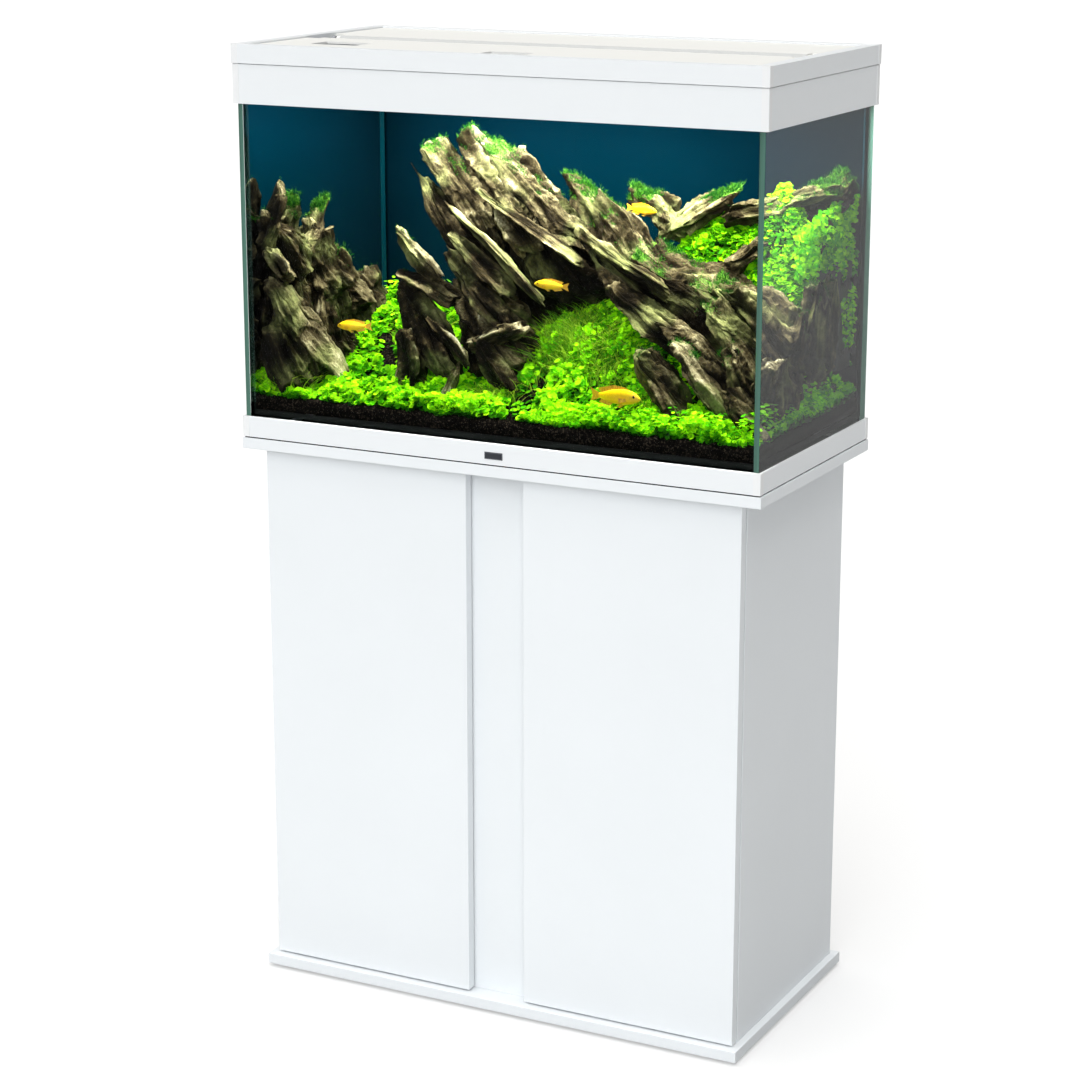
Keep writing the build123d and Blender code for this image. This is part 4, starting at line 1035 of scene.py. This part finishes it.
def fish_finish():
    """Yellow scaled body, clearer streaked fins, and a dark eye with a thin pale ring."""
    f = Finish("fish_skin")
    grain = f.field("grain", "Vector")
    part = f.field("part")
    packed = f.stretch(grain, (30, 12, 34))
    scales = f.add("TexVoronoi", {"Vector": packed, "Scale": 1.0}).outputs["Distance"]
    axes = f.axes(grain)
    belly = f.span(axes[2], -0.12, 0.06)
    body = f.mix(belly, (0.88, 0.46, 0.008), (0.95, 0.62, 0.004))
    body = f.mix(f.span(scales, 0.25, 0.7, 0, 0.25), body, (0.60, 0.32, 0.003))
    head = f.span(axes[0], 0.22, 0.10)
    body = f.mix(f.maths("MULTIPLY", head, 0.35), body, (0.42, 0.22, 0.01))
    rays = f.noise(f.stretch(grain, (110, 4, 14)), 1, 2)
    web = f.mix(f.span(rays, 0.35, 0.65), (0.50, 0.21, 0.008), (0.86, 0.50, 0.02))
    is_fin = f.between(part, 0.25, 0.75)
    is_eye = f.maths("GREATER_THAN", part, 0.9)
    eye = f.mix(f.maths("GREATER_THAN", part, 1.15), (0.55, 0.32, 0.04), (0.006, 0.006, 0.008))
    shade = f.mix(is_fin, body, web)
    shade = f.mix(is_eye, shade, eye)
    gloss = f.maths("SUBTRACT", 0.42, f.maths("MULTIPLY", is_eye, 0.3))
    return f.finish(Base_Color=shade, Roughness=gloss, Normal=f.bump(scales, 0.35, 0.0004))


def light_cover_finish():
    f = Finish("led_cover")
    place = f.place()
    dots = f.add("TexVoronoi", {"Vector": f.stretch(place, (60, 0, 0)), "Scale": 1.0})
    glow = f.mix(f.span(dots.outputs["Distance"], 0.1, 0.5), (1.0, 0.99, 0.96), (0.72, 0.76, 0.80))
    ribs = f.add("TexWave", {"Vector": place, "Scale": 160.0}).outputs["Fac"]
    return f.finish(
        Base_Color=(0.86, 0.87, 0.88, 1), Roughness=0.35, Emission_Color=glow,
        Emission_Strength=3.0, Normal=f.bump(ribs, 0.3, 0.0004),
    )


def badge_finish():
    """A blank dark plate with a thin lighter border."""
    f = Finish("blank_badge")
    place = f.place()
    low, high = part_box("badge_plate")
    axes = f.axes(place)
    margins = []
    for axis in (0, 2):
        from_middle = f.maths("SUBTRACT", axes[axis], (low[axis] + high[axis]) / 2)
        half = (high[axis] - low[axis]) / 2
        margins.append(f.maths("SUBTRACT", half, f.maths("ABSOLUTE", from_middle)))
    border = f.between(f.maths("MINIMUM", *margins), 0.0007, 0.0012)
    brushed = f.noise(f.stretch(place, (60, 60, 4000)), 1, 3)
    dark = f.mix(brushed, (0.010, 0.012, 0.018), (0.024, 0.027, 0.036))
    shade = f.mix(border, dark, (0.14, 0.15, 0.17))
    return f.finish(Base_Color=shade, Roughness=0.35, Normal=f.bump(brushed, 0.2, 0.0001))


# Moulded and painted surfaces: colour, roughness, grain scale, grain depth (m), then unevenness.
PLAIN_LOOKS = {
    "glide": ((0.10, 0.10, 0.105), 0.5, 600, 0.0004),
    "pad": ((0.55, 0.57, 0.58), 0.3, 300, 0.0002),
    "nylon": ((0.72, 0.72, 0.70), 0.45, 500, 0.0003),
    "white_profile": ((0.775, 0.795, 0.81), 0.34, 700, 0.0002, 0.006),
    "white_plastic": ((0.79, 0.795, 0.80), 0.36, 1100, 0.0002, 0.006),
    "equipment": ((0.025, 0.026, 0.028), 0.4, 500, 0.0005),
    "heater_glass": ((0.05, 0.055, 0.055), 0.12, 60, 0.0002),
    "suction_rubber": ((0.03, 0.03, 0.03), 0.5, 300, 0.0003),
    # The flaps' white, made warmer and a little brighter: painted light from above on the lid's top.
    "flap_white_painted_warm_light": ((0.80, 0.795, 0.765), 0.40, 900, 0.0002, 0.006),
    # A dark grey that paints the shade in recesses and gaps onto white parts.
    "recess_painted_shade": ((0.27, 0.28, 0.30), 0.45, 900, 0.0002, 0.03),
}
# Each pane: the axis into the tank, IOR of its outer and inner face, colour of its cut edges.
PANES = {
    "front_pane": ((0, 1, 0), 1.05, 0.75, GLASS_EDGE),
    "back_pane": ((0, -1, 0), 1.02, 0.98, (0.0, 0.05, 0.06)),
    "left_pane": ((1, 0, 0), 1.33, 0.75, GLASS_EDGE),
    "right_pane": ((-1, 0, 0), 1.31, 0.75, GLASS_EDGE),
    "bottom_pane": ((0, 0, 1), 1.5, 1.5, (0.003, 0.005, 0.004)),
}
# Nodes whose finish is not the one of their material slot.
OWN_LOOKS = {
    # The flaps' warmer white is painted light on the lid's top.
    "front_flap": "flap_white_painted_warm_light",
    "rear_flap": "flap_white_painted_warm_light",
    # These three white parts get the dark grey: painted shade in their recesses and in the gap between
    # the flaps.
    "feed_shutter": "recess_painted_shade",
    "finger_cup": "recess_painted_shade",
    "lid_bridge": "recess_painted_shade",
}


def dress_frame(frame):
    """Every CAD node that stays gets its finish, mostly by the record's material slot."""
    finishes = {name: plain_finish(name, *look) for name, look in PLAIN_LOOKS.items()}
    finishes["white_board"] = board_finish("white_board", (0.77, 0.795, 0.815), 0.42)
    finishes["back_board"] = board_finish("back_board", (0.74, 0.74, 0.73), 0.6)
    finishes["steel"] = metal_finish("steel", (0.62, 0.62, 0.63), 0.3)
    finishes["led_housing"] = metal_finish("led_housing", (0.72, 0.73, 0.74), 0.38)
    finishes["silicone"] = silicone_finish()
    finishes["led_diffuser"] = light_cover_finish()
    finishes["badge"] = badge_finish()
    for pane, settings in PANES.items():
        finishes[pane] = glass_finish("glass_" + pane, *settings)
    for row in frame["record"]["subparts"]:
        node, slot = row["node"], row["material_slot"]
        look = node if node in PANES else OWN_LOOKS.get(node, slot)
        if look in finishes:
            materials = frame["nodes"][node].data.materials
            materials.clear()
            materials.append(finishes[look])


def half_and_middle(node):
    low, high = (np.array(corner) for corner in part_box(node))
    return (high - low) / 2, (high + low) / 2


def build_film(material):
    """The background film, cut a little wider than in CAD so that no daylight shows at the corners."""
    half, middle = half_and_middle("backdrop_film")
    points, quads = box_lattice([120, 1, 70])
    half[0] = 0.3925
    shaped = points * half
    shaped[:, 1] += noise(points * [9, 0, 6], 93) * 0.00008
    piece = make_piece("film_sheet", shaped + middle, quads, material)
    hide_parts("backdrop_film")


def build_mat(material):
    """The foam under the tank, pressed out a little past the CAD mat so that its edge shows."""
    half, middle = half_and_middle("support_mat")
    press_out = 0.0026
    points, quads = box_lattice([160, 80, 3])
    half = half + [press_out, press_out, -0.00005]
    wavy = 1 - 0.0016 * (1 + noise(points * [40, 20, 0], 91)[:, None]) * [1, 1, 0]
    rounded = 1 - 0.0012 * (points[:, 2:] ** 2) * [1, 1, 0]
    piece = make_piece("foam_mat", points * half * wavy * rounded + middle, quads, material)
    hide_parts("support_mat")


# ---------------------------------------------------------------- studio
def build_floor():
    """A wide pale floor. What the camera sees of it is lifted a little, as a lit studio sweep is."""
    f = Finish("pale_floor")
    cloud = f.span(f.noise(f.place(), 0.8, 3), 0.3, 0.7)
    shade = f.mix(cloud, (0.50, 0.50, 0.50), (0.51, 0.51, 0.51))
    matt = f.add("BsdfDiffuse", {"Color": shade})
    seen = f.add("LightPath").outputs["Is Camera Ray"]
    lift = f.add("Emission", {"Color": (1, 1, 1, 1), "Strength": f.maths("MULTIPLY", seen, 0.39)})
    both = f.add("AddShader", {0: matt.outputs[0], 1: lift.outputs[0]})
    material = f.surface(both.outputs[0])
    mesh = bpy.data.meshes.new("floor")
    far = 60.0
    corners = [(-far, -far, 0), (far, -far, 0), (far, far, 0), (-far, far, 0)]
    mesh.from_pydata(corners, [], [(0, 1, 2, 3)])
    mesh.materials.append(material)
    put_in_scene("floor", mesh)


def add_lamp(name, kind, place, target):
    lamp = put_in_scene(name, bpy.data.lights.new(name, kind))
    lamp.location = place
    lamp.rotation_euler = (Vector(target) - Vector(place)).to_track_quat("-Z", "Y").to_euler()
    return lamp


def soft_sun(name, place, strength, colour, spread):
    """A wide, even light from far off; spread is its apparent size in degrees."""
    lamp = add_lamp(name, "SUN", place, (0, 0, 0))
    lamp.data.energy = strength
    lamp.data.color = colour
    lamp.data.angle = math.radians(spread)


def build_lights():
    soft_sun("key", (0.9, -3.3, 1.9), 1.95, (0.96, 0.985, 1.0), 50)
    soft_sun("overhead", (-0.6, -0.3, 5.0), 3.1, (1.0, 0.985, 0.96), 80)
    # two bars along the tank, and the spill from their ends down the right pane
    bars = [((0, y), (0.70, 0.03), 9.0) for y in LIGHT_ROWS_Y]
    bars.append(((0.374, -0.01), (0.02, 0.32), 2.2))
    for number, ((x, y), size, energy) in enumerate(bars):
        lamp = add_lamp("tank_light_%d" % number, "AREA", (x, y, LIGHT_Z), (x, y, 0))
        lamp.data.shape = "RECTANGLE"
        lamp.data.size, lamp.data.size_y = size
        lamp.data.energy = energy
        lamp.data.color = (1.0, 0.99, 0.95)
        lamp.visible_camera = False
        lamp.visible_glossy = False
    world = bpy.data.worlds.new("studio")
    world.use_nodes = True
    tree = world.node_tree
    tree.nodes.clear()
    output = tree.nodes.new("ShaderNodeOutputWorld")
    path = tree.nodes.new("ShaderNodeLightPath")
    both = tree.nodes.new("ShaderNodeMixShader")
    tree.links.new(path.outputs["Is Camera Ray"], both.inputs[0])
    # first what the world casts on the object, then what the camera sees behind it
    for slot, colour, strength in ((1, (0.95, 0.98, 1.0, 1), 0.16), (2, (1, 1, 1, 1), 1.0)):
        sky = tree.nodes.new("ShaderNodeBackground")
        sky.inputs["Color"].default_value = colour
        sky.inputs["Strength"].default_value = strength
        tree.links.new(sky.outputs[0], both.inputs[slot])
    tree.links.new(both.outputs[0], output.inputs["Surface"])
    bpy.context.scene.world = world


def build_camera():
    data = bpy.data.cameras.new("camera")
    data.sensor_width = 36
    data.lens = 91.83
    data.clip_start, data.clip_end = 0.05, 100
    camera = put_in_scene("camera", data)
    camera.location = (1.7544, -3.4655, 1.6828)
    camera.rotation_euler = (math.radians(75.344), 0, math.radians(27.17))
    bpy.context.scene.camera = camera


def main():
    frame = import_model()
    scene = bpy.context.scene
    scene.view_settings.view_transform = "Standard"
    scene.cycles.caustics_reflective = False
    scene.cycles.caustics_refractive = False

    build_camera()
    build_floor()
    build_lights()
    dress_frame(frame)

    mossy = build_rocks(rock_finish())
    # The glow values given to moss and leaves are painted light.
    build_moss(mossy, leaf_finish("moss_threads", *MOSS_TONES, through=0.45, glow=0.04))
    soil = soil_finish()
    build_ground(soil)
    build_grit(soil)
    leaves = leaf_finish("round_leaves", *LEAF_TONES, through=0.35, glow=0.18)
    carpet = build_carpet(leaves)
    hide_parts("plants")
    build_bushes(leaves)
    build_grass(leaf_finish("grass_blades", *GRASS_TONES, through=0.35, glow=0.0))
    build_fish(fish_finish())
    build_film(backdrop_finish())
    build_mat(foam_finish("foam_edge", (0.012, 0.012, 0.014)))


main()
